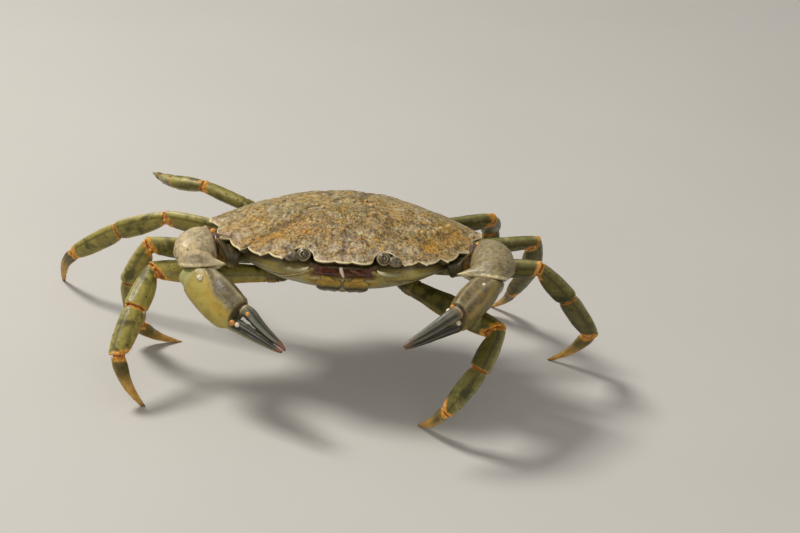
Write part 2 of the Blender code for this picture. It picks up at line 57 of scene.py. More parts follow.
POSE = {
    'leg2_right': ((14.3, -5.1, 25.0), ((29.1, -10, 1), (11.3, -72, -30), (12.2, -74, -39), (14.0, 176, -63))),
    'leg2_left': ((14.7, -5.1, 25.2), ((29.1, -44, -2), (12.7, -109, -21), (12.7, 165, -61), (13.2, 124, -41))),
    'leg3_right': ((15.3, 1.9, 26.0), ((30.7, -17, 8), (11.3, 32, -65), (15.6, 103, -65), (12.4, 153, -29))),
    'leg3_left': ((15.7, 1.9, 26.6), ((30.4, -12, 9), (11.6, 24, -45), (15.4, 44, -50), (16.1, 136, -45))),
    'leg4_right': ((14.3, 8.9, 26.6), ((29.7, 17, 1), (13.4, 19, -26), (15.7, 29, -37), (15.3, 69, -50))),
    'leg4_left': ((14.7, 8.9, 27.2), ((30.7, 11, 5), (12.1, 85, -54), (14.9, 108, -47), (14.6, 111, -38))),
    'leg5_right': ((11.3, 15.4, 28.2), ((24.3, 5, 19), (8.5, 34, -10), (10.9, 72, -18), (11.6, 80, -19))),
    'leg5_left': ((11.7, 15.4, 28.8), ((24.0, 18, 6), (9.3, 84, -35), (13.2, 86, -78), (13.8, 100, -71))),
    'claw_right': ((11.3, -11.8, 27.4), ((20.2, 11, 16.4), (10.2, -71, -25.5), (16.5, -135, -17), (15.5, -139, -13))),
    'claw_left': ((11.7, -11.8, 28.0), ((20.8, 11, 21.5), (12.0, -77, -12), (17.0, -118, -9), (15.2, -145, -18))),
}
LEG_SIZE = {'leg2': 0.96, 'leg3': 0.96, 'leg4': 0.86, 'leg5': 0.86}
# Half depth, half thickness along each leg piece, at fractions of its length.
LEG_PROFILES = {
    'merus': [(0.0, 1.9, 1.7), (0.22, 2.1, 1.6), (0.5, 2.75, 1.75), (0.8, 2.7, 1.8), (0.95, 2.35, 1.65), (1.0, 2.1, 1.5)],
    'carpus': [(0.0, 1.75, 1.4), (0.25, 2.35, 1.7), (0.6, 2.75, 1.85), (0.9, 2.75, 1.8), (1.0, 2.45, 1.6)],
    'propodus': [(0.0, 2.2, 1.45), (0.2, 2.65, 1.65), (0.55, 2.6, 1.55), (0.9, 2.15, 1.4), (1.0, 1.8, 1.25)],
    'dactyl': [(0.0, 1.5, 1.15), (0.14, 1.55, 1.15), (0.35, 1.3, 0.95), (0.6, 1.0, 0.78), (0.85, 0.62, 0.52), (1.0, 0.36, 0.36)],
}
PADDLE = [(0.0, 1.5, 1.1), (0.25, 2.1, 0.95), (0.6, 1.75, 0.8), (0.88, 0.85, 0.55), (1.0, 0.4, 0.4)]
DACTYL_BOW = 0.075               # outward bow of the last piece, as a share of its length
CLAW_MERUS = [(0.0, 1.8, 1.7), (0.3, 2.6, 2.4), (0.6, 3.6, 2.8), (0.9, 4.2, 3.0), (1.0, 3.4, 2.6)]
CLAW_CARPUS = [(0.0, 2.8, 2.6), (0.15, 4.2, 3.9), (0.4, 5.1, 4.7), (0.65, 5.2, 4.8), (0.85, 4.6, 4.3), (1.0, 3.5, 3.3)]
CARPUS_SHORT = 0.4              # the carpus ends this far before the wrist
CARPUS_BULGE = 2.0               # how far the carpus bulges to the outside
# The wrist's plane faces down and a little forwards, so that the carpus roofs the palm:
# its lift above the wrist point and its normal.
WRIST = {'right': (1.2, (0.10, -0.50, -0.86)), 'left': (1.0, (-0.08, -0.55, -0.83))}
SPINE = {'right': (1.0, -0.3, 0.35), 'left': (-1.0, -0.3, 0.1)}      # way the inner spine points
PALM_BULK = {'right': 0.45, 'left': 0.0}                              # extra depth of the lower edge
# Palm and fixed finger: distance from the wrist, half depth, half thickness, rise of the centre.
PALM = [(0.25, 2.6, 2.4, 0.0), (1.6, 3.6, 3.0, 0.0), (5.0, 4.3, 3.3, 0.0), (9.5, 4.55, 3.3, 0.0),
        (13.2, 4.3, 3.0, -0.05), (15.6, 3.65, 2.6, -0.1), (16.1, 1.75, 1.9, -1.9), (20.0, 1.45, 1.5, -1.75),
        (25.0, 1.05, 1.1, -1.25), (29.0, 0.55, 0.6, -0.6), (30.6, 0.32, 0.32, -0.3)]
FINGER = [(16.6, 1.4, 1.45, 2.0), (18.2, 1.4, 1.45, 2.1), (22.0, 1.2, 1.25, 1.8), (26.0, 0.92, 0.95, 1.35),
          (29.3, 0.55, 0.58, 0.85), (31.0, 0.3, 0.3, 0.5)]

EYE = (8.9, -19.7, 1.0)

# ------------------------------------------------------------------ numbers
def unit(v):
    v = np.asarray(v, float)
    return v / np.linalg.norm(v, axis=-1, keepdims=True)


def smoothstep(a, b, x):
    t = np.clip((np.asarray(x, float) - a) / (b - a), 0, 1)
    return t * t * (3 - 2 * t)


def monotone(x, y, xi):
    """Smooth curve through points with no overshoot."""
    x, y = np.asarray(x, float), np.asarray(y, float)
    h, d = np.diff(x), np.diff(y) / np.diff(x)
    m = np.zeros(len(x))
    for i in range(1, len(x) - 1):
        if d[i - 1] * d[i] > 0:
            w1, w2 = 2 * h[i] + h[i - 1], h[i] + 2 * h[i - 1]
            m[i] = (w1 + w2) / (w1 / d[i - 1] + w2 / d[i])
    m[0], m[-1] = d[0], d[-1]
    xi = np.clip(xi, x[0], x[-1])
    k = np.clip(np.searchsorted(x, xi, side='right') - 1, 0, len(h) - 1)
    t = (xi - x[k]) / h[k]
    return ((1 + 2 * t) * (1 - t) ** 2 * y[k] + t * (1 - t) ** 2 * h[k] * m[k]
            + t * t * (3 - 2 * t) * y[k + 1] + t * t * (t - 1) * h[k] * m[k + 1])


def hashed(ix, iy, iz, seed):
    with np.errstate(over='ignore'):
        h = (ix.astype(np.int64) * 73856093) ^ (iy.astype(np.int64) * 19349663) ^ (iz.astype(np.int64) * 83492791) ^ (seed * 2654435761)
        h = h & 0xffffffff
        h = ((h ^ (h >> 16)) * 0x45d9f3b) & 0xffffffff
        h = ((h ^ (h >> 16)) * 0x45d9f3b) & 0xffffffff
        h = h ^ (h >> 16)
    return (h & 0xffffff) / float(0x1000000)


def value_noise(p, size, seed=0):
    q = np.asarray(p) / size
    i = np.floor(q).astype(np.int64)
    f = q - i
    f = f * f * (3 - 2 * f)
    out = 0.0
    for dx in (0, 1):
        for dy in (0, 1):
            for dz in (0, 1):
                w = (f[:, 0] if dx else 1 - f[:, 0]) * (f[:, 1] if dy else 1 - f[:, 1]) * (f[:, 2] if dz else 1 - f[:, 2])
                out = out + w * hashed(i[:, 0] + dx, i[:, 1] + dy, i[:, 2] + dz, seed)
    return out * 2 - 1


def fbm(p, size, octaves=3, seed=0):
    out, amp, total = 0.0, 1.0, 0.0
    for k in range(octaves):
        out = out + amp * value_noise(np.asarray(p) + 17.3 * k, size / 2 ** k, seed + k)
        total += amp
        amp *= 0.5
    return out / total


def grains(p, size, seed=0, lo=0.25, hi=0.5, share=1.0, flat=False):
    """Rounded grains scattered one to a cell: height 0 to 1 of the grain over each point."""
    q = np.asarray(p, float) / size
    i = np.floor(q).astype(np.int64)
    best = np.zeros(len(q))
    for dx in (-1, 0, 1):
        for dy in (-1, 0, 1):
            for dz in ((0,) if flat else (-1, 0, 1)):
                c = [i[:, 0] + dx, i[:, 1] + dy, i[:, 2] + dz if not flat else i[:, 2] * 0]
                ox = hashed(*c, seed + 1)
                oy = hashed(*c, seed + 2)
                oz = hashed(*c, seed + 3)
                r = lo + (hi - lo) * hashed(*c, seed + 4)
                on = hashed(*c, seed + 5) < share
                d2 = (c[0] + ox - q[:, 0]) ** 2 + (c[1] + oy - q[:, 1]) ** 2
                if not flat:
                    d2 = d2 + (c[2] + oz - q[:, 2]) ** 2
                h = np.where(on, np.sqrt(np.clip(1 - d2 / (r * r), 0, 1)) * (r / hi), 0)
                best = np.maximum(best, h)
    return best


def tilt(points):
    ax, ay = math.radians(BODY_TILT_X), math.radians(BODY_TILT_Y)
    rx = np.array([[1, 0, 0], [0, math.cos(ax), -math.sin(ax)], [0, math.sin(ax), math.cos(ax)]])
    ry = np.array([[math.cos(ay), 0, math.sin(ay)], [0, 1, 0], [-math.sin(ay), 0, math.cos(ay)]])
    return np.asarray(points, float) @ (ry @ rx).T + np.array([0, 0, BODY_HEIGHT])


def untilt(points):
    ax, ay = math.radians(BODY_TILT_X), math.radians(BODY_TILT_Y)
    rx = np.array([[1, 0, 0], [0, math.cos(ax), -math.sin(ax)], [0, math.sin(ax), math.cos(ax)]])
    ry = np.array([[math.cos(ay), 0, math.sin(ay)], [0, 1, 0], [-math.sin(ay), 0, math.cos(ay)]])
    return (np.asarray(points, float) - np.array([0, 0, BODY_HEIGHT])) @ (ry @ rx)


# ------------------------------------------------------------------ camera, fitted to the joints and teeth seen in the picture
AZ, EL, ROLL, DIST, FOCAL = math.radians(1.55), math.radians(23.38), math.radians(5.36), 596.19, 2593.69
LOOK = np.array([math.sin(AZ) * math.cos(EL), math.cos(AZ) * math.cos(EL), -math.sin(EL)])
_right = unit(np.cross(LOOK, [0, 0, 1]))
_up = np.cross(_right, LOOK)
CAM_R = math.cos(ROLL) * _right + math.sin(ROLL) * _up
CAM_U = -math.sin(ROLL) * _right + math.cos(ROLL) * _up
CAM_AT = np.array([13.09, -5.0, 29.38]) - LOOK * DIST


def pixels(P):
    """Points in millimetres to the picture's x, y and their distance from the camera."""
    q = np.atleast_2d(P) - CAM_AT
    d = q @ LOOK
    return np.stack([400 + FOCAL * (q @ CAM_R) / d, 266.5 - FOCAL * (q @ CAM_U) / d, d], axis=1)


# ------------------------------------------------------------------ meshes
def grid_faces(rows, n, closed=True):
    i = np.arange(n if closed else n - 1)
    k = (i + 1) % n
    j = np.arange(rows - 1)[:, None]
    return np.stack([j * n + i, j * n + k, (j + 1) * n + k, (j + 1) * n + i], axis=-1).reshape(-1, 4)


def with_caps(V, rows, n):
    """Quads over rows of n points, closed at both ends with a fan to the middle."""
    quads = grid_faces(rows, n)
    i = np.arange(n)
    k = (i + 1) % n
    a, b = len(V), len(V) + 1
    V = np.vstack([V, V[:n].mean(axis=0), V[(rows - 1) * n:rows * n].mean(axis=0)])
    last = (rows - 1) * n
    tris = np.vstack([np.stack([np.full(n, a), k, i], axis=1), np.stack([np.full(n, b), last + i, last + k], axis=1)])
    return V, quads, tris


def signed_volume(V, quads, tris):
    t = np.vstack([quads[:, [0, 1, 2]], quads[:, [0, 2, 3]], tris]) if len(tris) else np.vstack([quads[:, [0, 1, 2]], quads[:, [0, 2, 3]]])
    a, b, c = V[t[:, 0]], V[t[:, 1]], V[t[:, 2]]
    return float(np.einsum('ij,ij->i', a, np.cross(b, c)).sum())


def piece(name, V, quads, tris, material, attrs=None, replaces=()):
    """Makes an object from points in millimetres, hides the model parts it replaces and hangs it on the root body."""
    V = np.asarray(V, float)
    quads = np.asarray(quads, np.int64).reshape(-1, 4)
    tris = np.asarray(tris, np.int64).reshape(-1, 3)
    if signed_volume(V - V.mean(axis=0), quads, tris) < 0:
        quads, tris = quads[:, ::-1], tris[:, ::-1]
    mesh = bpy.data.meshes.new(name)
    mesh.vertices.add(len(V))
    mesh.vertices.foreach_set("co", ((V - CENTRE) * MM).astype(np.float32).ravel())
    loops = np.concatenate([quads.ravel(), tris.ravel()]).astype(np.int32)
    mesh.loops.add(len(loops))
    mesh.loops.foreach_set("vertex_index", loops)
    starts = np.concatenate([np.arange(len(quads)) * 4, len(quads) * 4 + np.arange(len(tris)) * 3]).astype(np.int32)
    mesh.polygons.add(len(starts))
    mesh.polygons.foreach_set("loop_start", starts)
    mesh.update(calc_edges=True)
    mesh.validate()
    mesh.shade_smooth()
    for key, values in (attrs or {}).items():
        values = np.asarray(values, np.float32)
        if len(values) < len(V):
            values = np.concatenate([values, np.full(len(V) - len(values), values[-1] if len(values) else 0, np.float32)])
        layer = mesh.attributes.new(key, 'FLOAT', 'POINT')
        layer.data.foreach_set("value", values[:len(V)].copy())
    mesh.materials.append(material)
    ob = bpy.data.objects.new(name, mesh)
    bpy.context.scene.collection.objects.link(ob)
    if replaces:
        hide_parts(*replaces)
    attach(ob, "root")
    return ob


def joined(parts):
    """Several (V, quads, tris, attrs) as one."""
    Vs, Qs, Ts, keys = [], [], [], set()
    for p in parts:
        keys |= set(p[3])
    attrs = {k: [] for k in keys}
    at = 0
    for V, Q, T, A in parts:
        Vs.append(V)
        Qs.append(np.asarray(Q, np.int64).reshape(-1, 4) + at)
        Ts.append(np.asarray(T, np.int64).reshape(-1, 3) + at)
        for k in keys:
            a = np.asarray(A.get(k, np.zeros(len(V))), float)
            if len(a) < len(V):
                a = np.concatenate([a, np.full(len(V) - len(a), a[-1])])
            attrs[k].append(a[:len(V)])
        at += len(V)
    return np.vstack(Vs), np.vstack(Qs), np.vstack(Ts), {k: np.concatenate(v) for k, v in attrs.items()}


# ------------------------------------------------------------------ materials
def srgb(r, g, b):
    f = lambda c: c / 12.92 if c <= 0.04045 else ((c + 0.055) / 1.055) ** 2.4
    return tuple(f(c / 255.0) for c in (r, g, b))


class Tree:
    """Short way to write a node material."""

    def __init__(self, name, rough=0.45, coat=0.0, coat_rough=0.2, spec=0.5, sub=0.0):
        self.mat = bpy.data.materials.new(name)
        self.mat.use_nodes = True
        self.nt = self.mat.node_tree
        self.bsdf = self.nt.nodes["Principled BSDF"]
        self.bsdf.inputs["Roughness"].default_value = rough
        self.bsdf.inputs["Coat Weight"].default_value = coat
        self.bsdf.inputs["Coat Roughness"].default_value = coat_rough
        self.bsdf.inputs["Specular IOR Level"].default_value = spec
        if sub:
            self.bsdf.inputs["Subsurface Weight"].default_value = sub
            self.bsdf.inputs["Subsurface Radius"].default_value = (0.0012, 0.0007, 0.0004)
            self.bsdf.inputs["Subsurface Scale"].default_value = 1.0
        self.obj = self.node("ShaderNodeTexCoord").outputs["Object"]

    def node(self, kind, **props):
        n = self.nt.nodes.new(kind)
        for k, v in props.items():
            setattr(n, k, v)
        return n

    def link(self, a, b):
        self.nt.links.new(a, b)

    def put(self, value, socket):
        if hasattr(value, "links") or isinstance(value, bpy.types.NodeSocket):
            self.link(value, socket)
        else:
            socket.default_value = value

    def noise(self, size_mm, detail=3.0, rough=0.55, distort=0.0, vector=None, stretch=None):
        n = self.node("ShaderNodeTexNoise")
        v = vector or self.obj
        if stretch:
            m = self.node("ShaderNodeVectorMath", operation='MULTIPLY')
            self.link(v, m.inputs[0])
            m.inputs[1].default_value = stretch
            v = m.outputs[0]
        self.link(v, n.inputs["Vector"])
        n.inputs["Scale"].default_value = 1000.0 / size_mm
        n.inputs["Detail"].default_value = detail
        n.inputs["Roughness"].default_value = rough
        n.inputs["Distortion"].default_value = distort
        return n.outputs["Fac"]

    def cells(self, size_mm, feature='F1', randomness=1.0, vector=None):
        n = self.node("ShaderNodeTexVoronoi", feature=feature)
        self.link(vector or self.obj, n.inputs["Vector"])
        n.inputs["Scale"].default_value = 1000.0 / size_mm
        n.inputs["Randomness"].default_value = randomness
        return n.outputs["Distance"]

    def cellrand(self, size_mm, vector=None):
        """One random number for each irregular cell."""
        n = self.node("ShaderNodeTexVoronoi", feature='F1')
        self.link(vector or self.obj, n.inputs["Vector"])
        n.inputs["Scale"].default_value = 1000.0 / size_mm
        sep = self.node("ShaderNodeSeparateColor")
        self.link(n.outputs["Color"], sep.inputs[0])
        return sep.outputs[0]

    def warp(self, size_mm, amount_mm):
        """Object coordinates pushed about by a noise."""
        n = self.node("ShaderNodeTexNoise")
        self.link(self.obj, n.inputs["Vector"])
        n.inputs["Scale"].default_value = 1000.0 / size_mm
        n.inputs["Detail"].default_value = 2.0
        a = self.node("ShaderNodeVectorMath", operation='SUBTRACT')
        self.link(n.outputs["Color"], a.inputs[0])
        a.inputs[1].default_value = (0.5, 0.5, 0.5)
        b = self.node("ShaderNodeVectorMath", operation='MULTIPLY_ADD')
        self.link(a.outputs[0], b.inputs[0])
        b.inputs[1].default_value = (amount_mm * MM,) * 3
        self.link(self.obj, b.inputs[2])
        return b.outputs[0]

    def attr(self, name):
        n = self.node("ShaderNodeAttribute", attribute_name=name)
        return n.outputs["Fac"]

    def ramp(self, fac, *stops, kind='LINEAR'):
        n = self.node("ShaderNodeValToRGB")
        n.color_ramp.interpolation = kind
        self.link(fac, n.inputs["Fac"])
        e = n.color_ramp.elements
        while len(e) < len(stops):
            e.new(0.5)
        for el, (pos, col) in zip(e, stops):
            el.position = pos
            el.color = (*col, 1.0) if isinstance(col, tuple) else (col, col, col, 1.0)
        return n.outputs["Color"]

    def span(self, fac, a, b, lo=0.0, hi=1.0):
        n = self.node("ShaderNodeMapRange", interpolation_type='SMOOTHSTEP')
        self.link(fac, n.inputs["Value"])
        for key, v in (("From Min", a), ("From Max", b), ("To Min", lo), ("To Max", hi)):
            n.inputs[key].default_value = v
        return n.outputs["Result"]

    def math(self, op, a, b=None):
        n = self.node("ShaderNodeMath", operation=op)
        self.put(a, n.inputs[0])
        if b is not None:
            self.put(b, n.inputs[1])
        return n.outputs[0]

    def mix(self, fac, a, b, blend='MIX'):
        n = self.node("ShaderNodeMix", data_type='RGBA', blend_type=blend)
        self.put(fac, n.inputs[0])
        for v, i in ((a, 6), (b, 7)):
            if isinstance(v, tuple):
                n.inputs[i].default_value = (*v, 1.0)
            else:
                self.link(v, n.inputs[i])
        return n.outputs[2]

    def bump(self, height, distance_mm, strength=1.0, normal=None):
        n = self.node("ShaderNodeBump")
        n.inputs["Strength"].default_value = strength
        n.inputs["Distance"].default_value = distance_mm * MM
        self.link(height, n.inputs["Height"])
        if normal is not None:
            self.link(normal, n.inputs["Normal"])
        return n.outputs["Normal"]

    def done(self, colour, rough=None, normal=None):
        if isinstance(colour, tuple):
            self.bsdf.inputs["Base Color"].default_value = (*colour, 1.0)
        else:
            self.link(colour, self.bsdf.inputs["Base Color"])
        if rough is not None:
            self.link(rough, self.bsdf.inputs["Roughness"])
        if normal is not None:
            self.link(normal, self.bsdf.inputs["Normal"])
        return self.mat


def mat_back():
    t = Tree("shell_back", rough=0.44, coat=0.06, coat_rough=0.3, spec=0.34)
    w = t.warp(1.3, 0.7)
    big = t.noise(6.0, 3, 0.6, 0.6)
    mid = t.noise(1.5, 4, 0.65, 0.4)
    fine = t.noise(0.4, 3, 0.6)
    clump = t.noise(2.2, 5, 0.72, 0.9)
    c = t.ramp(big, (0.34, srgb(112, 98, 44)), (0.45, srgb(146, 124, 68)), (0.56, srgb(160, 140, 100)), (0.68, srgb(122, 104, 48)))
    c = t.mix(t.math('MULTIPLY', t.attr("olive"), 0.8), c, srgb(188, 174, 132))
    c = t.mix(t.math('MULTIPLY', t.attr("violet"), t.span(mid, 0.74, 0.46, 0.3, 0.95)), c, srgb(204, 178, 162))
    c = t.mix(t.math('MULTIPLY', t.attr("ochre"), t.span(mid, 0.26, 0.5, 0.55, 1.0)), c, srgb(204, 150, 22))
    c = t.mix(t.math('MULTIPLY', t.attr("rust"), t.span(mid, 0.34, 0.58, 0.15, 0.95)), c, srgb(172, 108, 36))
    # clumps of golden brown and of pale grey green
    c = t.mix(t.span(clump, 0.50, 0.57, 0.0, 0.8), c, srgb(138, 102, 30))
    c = t.mix(t.span(clump, 0.46, 0.38, 0.0, 0.65), c, srgb(196, 186, 166))
    # flecks: each small patch of the surface has its own tone
    tone = t.ramp(t.cellrand(0.85, w), (0.0, 0.26), (0.16, 0.50), (0.34, 0.76), (0.56, 0.94), (0.8, 1.0), kind='CONSTANT')
    c = t.mix(t.span(t.noise(3.0, 2, 0.5), 0.35, 0.65, 0.5, 1.0), c, tone, 'MULTIPLY')
    tone = t.ramp(t.cellrand(0.42, w), (0.0, 0.45), (0.2, 0.7), (0.45, 0.9), (0.7, 1.0), kind='CONSTANT')
    c = t.mix(0.55, c, tone, 'MULTIPLY')
    pale = t.math('MULTIPLY', t.span(t.cellrand(0.62, w), 0.84, 0.87), t.span(t.noise(4.0, 2, 0.5), 0.36, 0.62, 0.1, 0.6))
    c = t.mix(t.math('MULTIPLY', pale, t.span(t.attr("ochre"), 0.0, 1.0, 1.0, 0.4)), c, srgb(208, 190, 138))
    c = t.mix(t.math('MULTIPLY', t.span(t.cellrand(0.5, w), 0.74, 0.78), t.span(clump, 0.46, 0.56, 0.15, 0.75)), c, srgb(206, 158, 56))
    c = t.mix(t.span(mid, 0.55, 0.68, 0.0, 0.75), c, srgb(76, 56, 28))
    c = t.mix(t.span(mid, 0.44, 0.34, 0.0, 0.45), c, srgb(206, 190, 142))
    c = t.mix(t.span(t.noise(0.8, 2, 0.5), 0.62, 0.70, 0.0, 0.35), c, srgb(204, 188, 140))
    # dark specks between the grains, light tops on them
    c = t.mix(t.math('MULTIPLY', t.span(t.cells(0.7, vector=w), 0.08, 0.24, 0.8, 0.0), t.span(t.cellrand(0.7, w), 0.35, 0.55, 1.0, 0.0)), c, srgb(58, 42, 24))
    c = t.mix(t.math('MULTIPLY', t.attr("grain"), 0.34), c, srgb(212, 186, 132))
    # dark in the grooves and pits, and painted shadow in the hollow beside each knob
    c = t.mix(t.math('MULTIPLY', t.attr("groove"), 0.8), c, srgb(66, 48, 22))
    # pale beads and knob tops, and the painted highlight on the front lip of each pit
    c = t.mix(t.attr("bead"), c, srgb(214, 176, 116))
    c = t.mix(t.span(fine, 0.35, 0.72, 0.0, 0.42), c, srgb(46, 34, 14))
    c = t.mix(t.math('MULTIPLY', t.attr("ochre"), 0.8), c, srgb(252, 232, 140), 'MULTIPLY')
    c = t.mix(0.3, c, srgb(252, 248, 226), 'MULTIPLY')
    # the edge wall under the rim and the underside painted dark: painted shade under the margin
    c = t.mix(t.attr("under"), c, t.ramp(mid, (0.35, srgb(44, 36, 18)), (0.65, srgb(78, 68, 36))))
    c = t.mix(t.attr("rim"), c, srgb(240, 224, 172))
    n = t.bump(fine, 0.08, 0.6)
    n = t.bump(t.span(t.cells(0.4), 0.0, 0.5, 1.0, 0.0), 0.09, 0.55, n)
    n = t.bump(clump, 0.7, 0.5, n)
    rough = t.span(mid, 0.3, 0.7, 0.38, 0.58)
    return t.done(c, rough, n)


def mat_limb(name, base, dark, light, low, dots=True):
    t = Tree(name, rough=0.42, coat=0.06, coat_rough=0.25, spec=0.32)
    w = t.warp(1.5, 0.8)
    big = t.noise(5.0, 3, 0.6, 0.5)
    mid = t.noise(1.5, 3, 0.6)
    fine = t.noise(0.4, 3, 0.6)
    c = t.ramp(big, (0.36, dark), (0.48, base), (0.64, base), (0.74, light))
    c = t.mix(t.span(t.cellrand(1.1, w), 0.1, 0.9, 0.30, 0.0), c, dark)
    c = t.mix(t.span(mid, 0.54, 0.7, 0.0, 0.5), c, dark)
    c = t.mix(t.math('MULTIPLY', t.attr("ridge"), t.span(mid, 0.3, 0.6, 0.9, 0.4)), c, light)
    c = t.mix(t.math('MULTIPLY', t.attr("shade"), 0.65), c, dark)
    c = t.mix(t.math('MULTIPLY', t.attr("low"), t.span(mid, 0.3, 0.62, 0.8, 0.25)), c, low)
    if dots:
        d = t.math('MULTIPLY', t.span(t.cells(1.5), 0.10, 0.20, 0.9, 0.0), t.span(t.cellrand(1.5), 0.45, 0.5, 1.0, 0.0))
        c = t.mix(d, c, srgb(40, 30, 16))
    c = t.mix(t.attr("toe"), c, t.ramp(mid, (0.35, srgb(168, 122, 44)), (0.65, srgb(204, 160, 82))))
    c = t.mix(t.math('MULTIPLY', t.attr("tip"), 0.85), c, srgb(112, 70, 30))
    c = t.mix(t.attr("ends"), c, t.ramp(t.noise(0.8, 3, 0.6), (0.35, srgb(160, 96, 24)), (0.5, srgb(212, 142, 38)), (0.64, srgb(216, 166, 90))))
    # darker where a leg goes in under the carapace, painted shade, and along its joint lines
    c = t.mix(t.attr("root"), c, srgb(66, 56, 30))
    c = t.mix(t.attr("rim"), c, srgb(214, 196, 146))
    n = t.bump(fine, 0.06, 0.5)
    n = t.bump(mid, 0.16, 0.3, n)
    rough = t.span(mid, 0.3, 0.7, 0.34, 0.52)
    return t.done(c, rough, n)


def mat_claw(name):
    t = Tree(name, rough=0.42, coat=0.06, coat_rough=0.25, spec=0.32)
    w = t.warp(1.2, 0.6)
    big = t.noise(4.5, 3, 0.6, 0.5)
    mid = t.noise(1.3, 4, 0.65, 0.3)
    fine = t.noise(0.4, 3, 0.6)
    olive = t.ramp(big, (0.34, srgb(138, 118, 48)), (0.5, srgb(160, 142, 66)), (0.68, srgb(166, 150, 82)))
    grey = t.mix(t.attr("dome"), t.ramp(big, (0.34, srgb(88, 78, 52)), (0.5, srgb(116, 104, 76)), (0.68, srgb(134, 112, 80))), t.ramp(big, (0.34, srgb(158, 142, 112)), (0.5, srgb(188, 170, 136)), (0.68, srgb(196, 172, 122))))
    c = t.mix(t.attr("upper"), olive, grey)
    # painted shade: darker olive over the claw away from the key light and along the palm's lower edge
    c = t.mix(t.math('MULTIPLY', t.attr("dusk"), 0.8), c, t.ramp(mid, (0.35, srgb(66, 58, 26)), (0.6, srgb(108, 98, 54))))
    c = t.mix(t.math('MULTIPLY', t.attr("gold"), t.span(mid, 0.35, 0.6, 0.25, 0.9)), c, srgb(166, 126, 40))
    # painted sheen: pale grey green on the palm's lower faces near the wrist
    c = t.mix(t.math('MULTIPLY', t.attr("wrist_sheen"), 0.8), c, srgb(158, 160, 112))
    speck = t.ramp(t.cellrand(0.7, w), (0.0, 0.4), (0.2, 0.66), (0.45, 0.86), (0.75, 1.0), kind='CONSTANT')
    c = t.mix(t.math('MULTIPLY', t.attr("speck"), 0.75), c, speck, 'MULTIPLY')
    c = t.mix(t.span(mid, 0.55, 0.7, 0.0, 0.35), c, srgb(98, 80, 44))
    d = t.math('MULTIPLY', t.span(t.cells(2.0), 0.10, 0.19, 1.0, 0.0), t.span(t.cellrand(2.0), 0.48, 0.52, 1.0, 0.0))
    c = t.mix(t.math('MULTIPLY', d, 0.85), c, srgb(60, 40, 22))
    c = t.mix(t.math('MULTIPLY', t.attr("grain"), 0.6), c, srgb(208, 190, 146))
    c = t.mix(t.attr("finger"), c, t.ramp(big, (0.34, srgb(54, 50, 34)), (0.5, srgb(72, 68, 50)), (0.68, srgb(94, 90, 74))))
    c = t.mix(t.math('MULTIPLY', t.attr("groove"), 0.92), c, srgb(40, 38, 30))
    c = t.mix(t.attr("pale"), c, srgb(120, 124, 112))
    c = t.mix(t.math('MULTIPLY', t.attr("tip"), 0.85), c, srgb(124, 74, 52))
    c = t.mix(t.attr("ends"), c, t.ramp(t.noise(0.8, 3, 0.6), (0.35, srgb(136, 78, 26)), (0.55, srgb(186, 122, 46)), (0.7, srgb(196, 154, 100))))
    # painted shadow of the carapace on the upper side and near end of the claw's merus, and dark joint lines
    c = t.mix(t.attr("root"), c, srgb(46, 38, 20))
    c = t.mix(t.attr("rim"), c, srgb(230, 214, 166))
    n = t.bump(fine, 0.07, 0.5)
    n = t.bump(mid, 0.18, 0.3, n)
    return t.done(c, t.span(mid, 0.3, 0.7, 0.34, 0.52), n)


def mat_under():
    t = Tree("shell_under", rough=0.42, coat=0.10, coat_rough=0.25, spec=0.4)
    big = t.noise(5.0, 3, 0.6, 0.5)
    mid = t.noise(1.4, 3, 0.6)
    fine = t.noise(0.4, 3, 0.6)
    c = t.ramp(big, (0.34, srgb(128, 110, 48)), (0.5, srgb(156, 138, 66)), (0.66, srgb(168, 150, 84)))
    c = t.mix(t.math('MULTIPLY', t.attr("blue"), t.span(mid, 0.35, 0.6, 0.4, 0.9)), c, srgb(140, 150, 134))
    c = t.mix(t.math('MULTIPLY', t.attr("line"), 0.8), c, srgb(168, 168, 128))
    c = t.mix(t.math('MULTIPLY', t.attr("groove"), 0.8), c, srgb(56, 44, 24))
    c = t.mix(t.span(mid, 0.55, 0.72, 0.0, 0.5), c, srgb(88, 74, 36))
    c = t.mix(t.attr("gold"), c, t.ramp(mid, (0.4, srgb(138, 104, 28)), (0.65, srgb(176, 142, 50))))
    # painted shade: very dark right under the margin, far out at the sides and low on the wall
    c = t.mix(t.attr("deep"), c, srgb(44, 36, 20))
    c = t.mix(t.attr("cave"), c, t.ramp(mid, (0.4, srgb(72, 34, 22)), (0.65, srgb(122, 70, 42))))
    c = t.mix(t.attr("ends"), c, srgb(176, 108, 44))
    c = t.mix(t.attr("rim"), c, srgb(226, 216, 182))
    n = t.bump(fine, 0.07, 0.5)
    return t.done(c, t.span(mid, 0.3, 0.7, 0.36, 0.52), n)


def mat_skin():
    t = Tree("joint_skin", rough=0.38, coat=0.15, coat_rough=0.2, spec=0.45, sub=0.15)
    mid = t.noise(0.9, 3, 0.6)
    c = t.ramp(mid, (0.32, srgb(96, 50, 18)), (0.48, srgb(168, 92, 26)), (0.6, srgb(206, 126, 40)), (0.72, srgb(206, 150, 92)))
    n = t.bump(t.noise(0.3, 3, 0.6), 0.1, 0.6)
    return t.done(c, None, n)


def mat_skin_dark():
    t = Tree("joint_skin_dark", rough=0.4, coat=0.15, coat_rough=0.2, spec=0.45, sub=0.1)
    mid = t.noise(0.9, 3, 0.6)
    c = t.ramp(mid, (0.34, srgb(40, 30, 20)), (0.55, srgb(84, 60, 36)), (0.72, srgb(140, 96, 50)))
    n = t.bump(t.noise(0.3, 3, 0.6), 0.1, 0.6)
    return t.done(c, None, n)


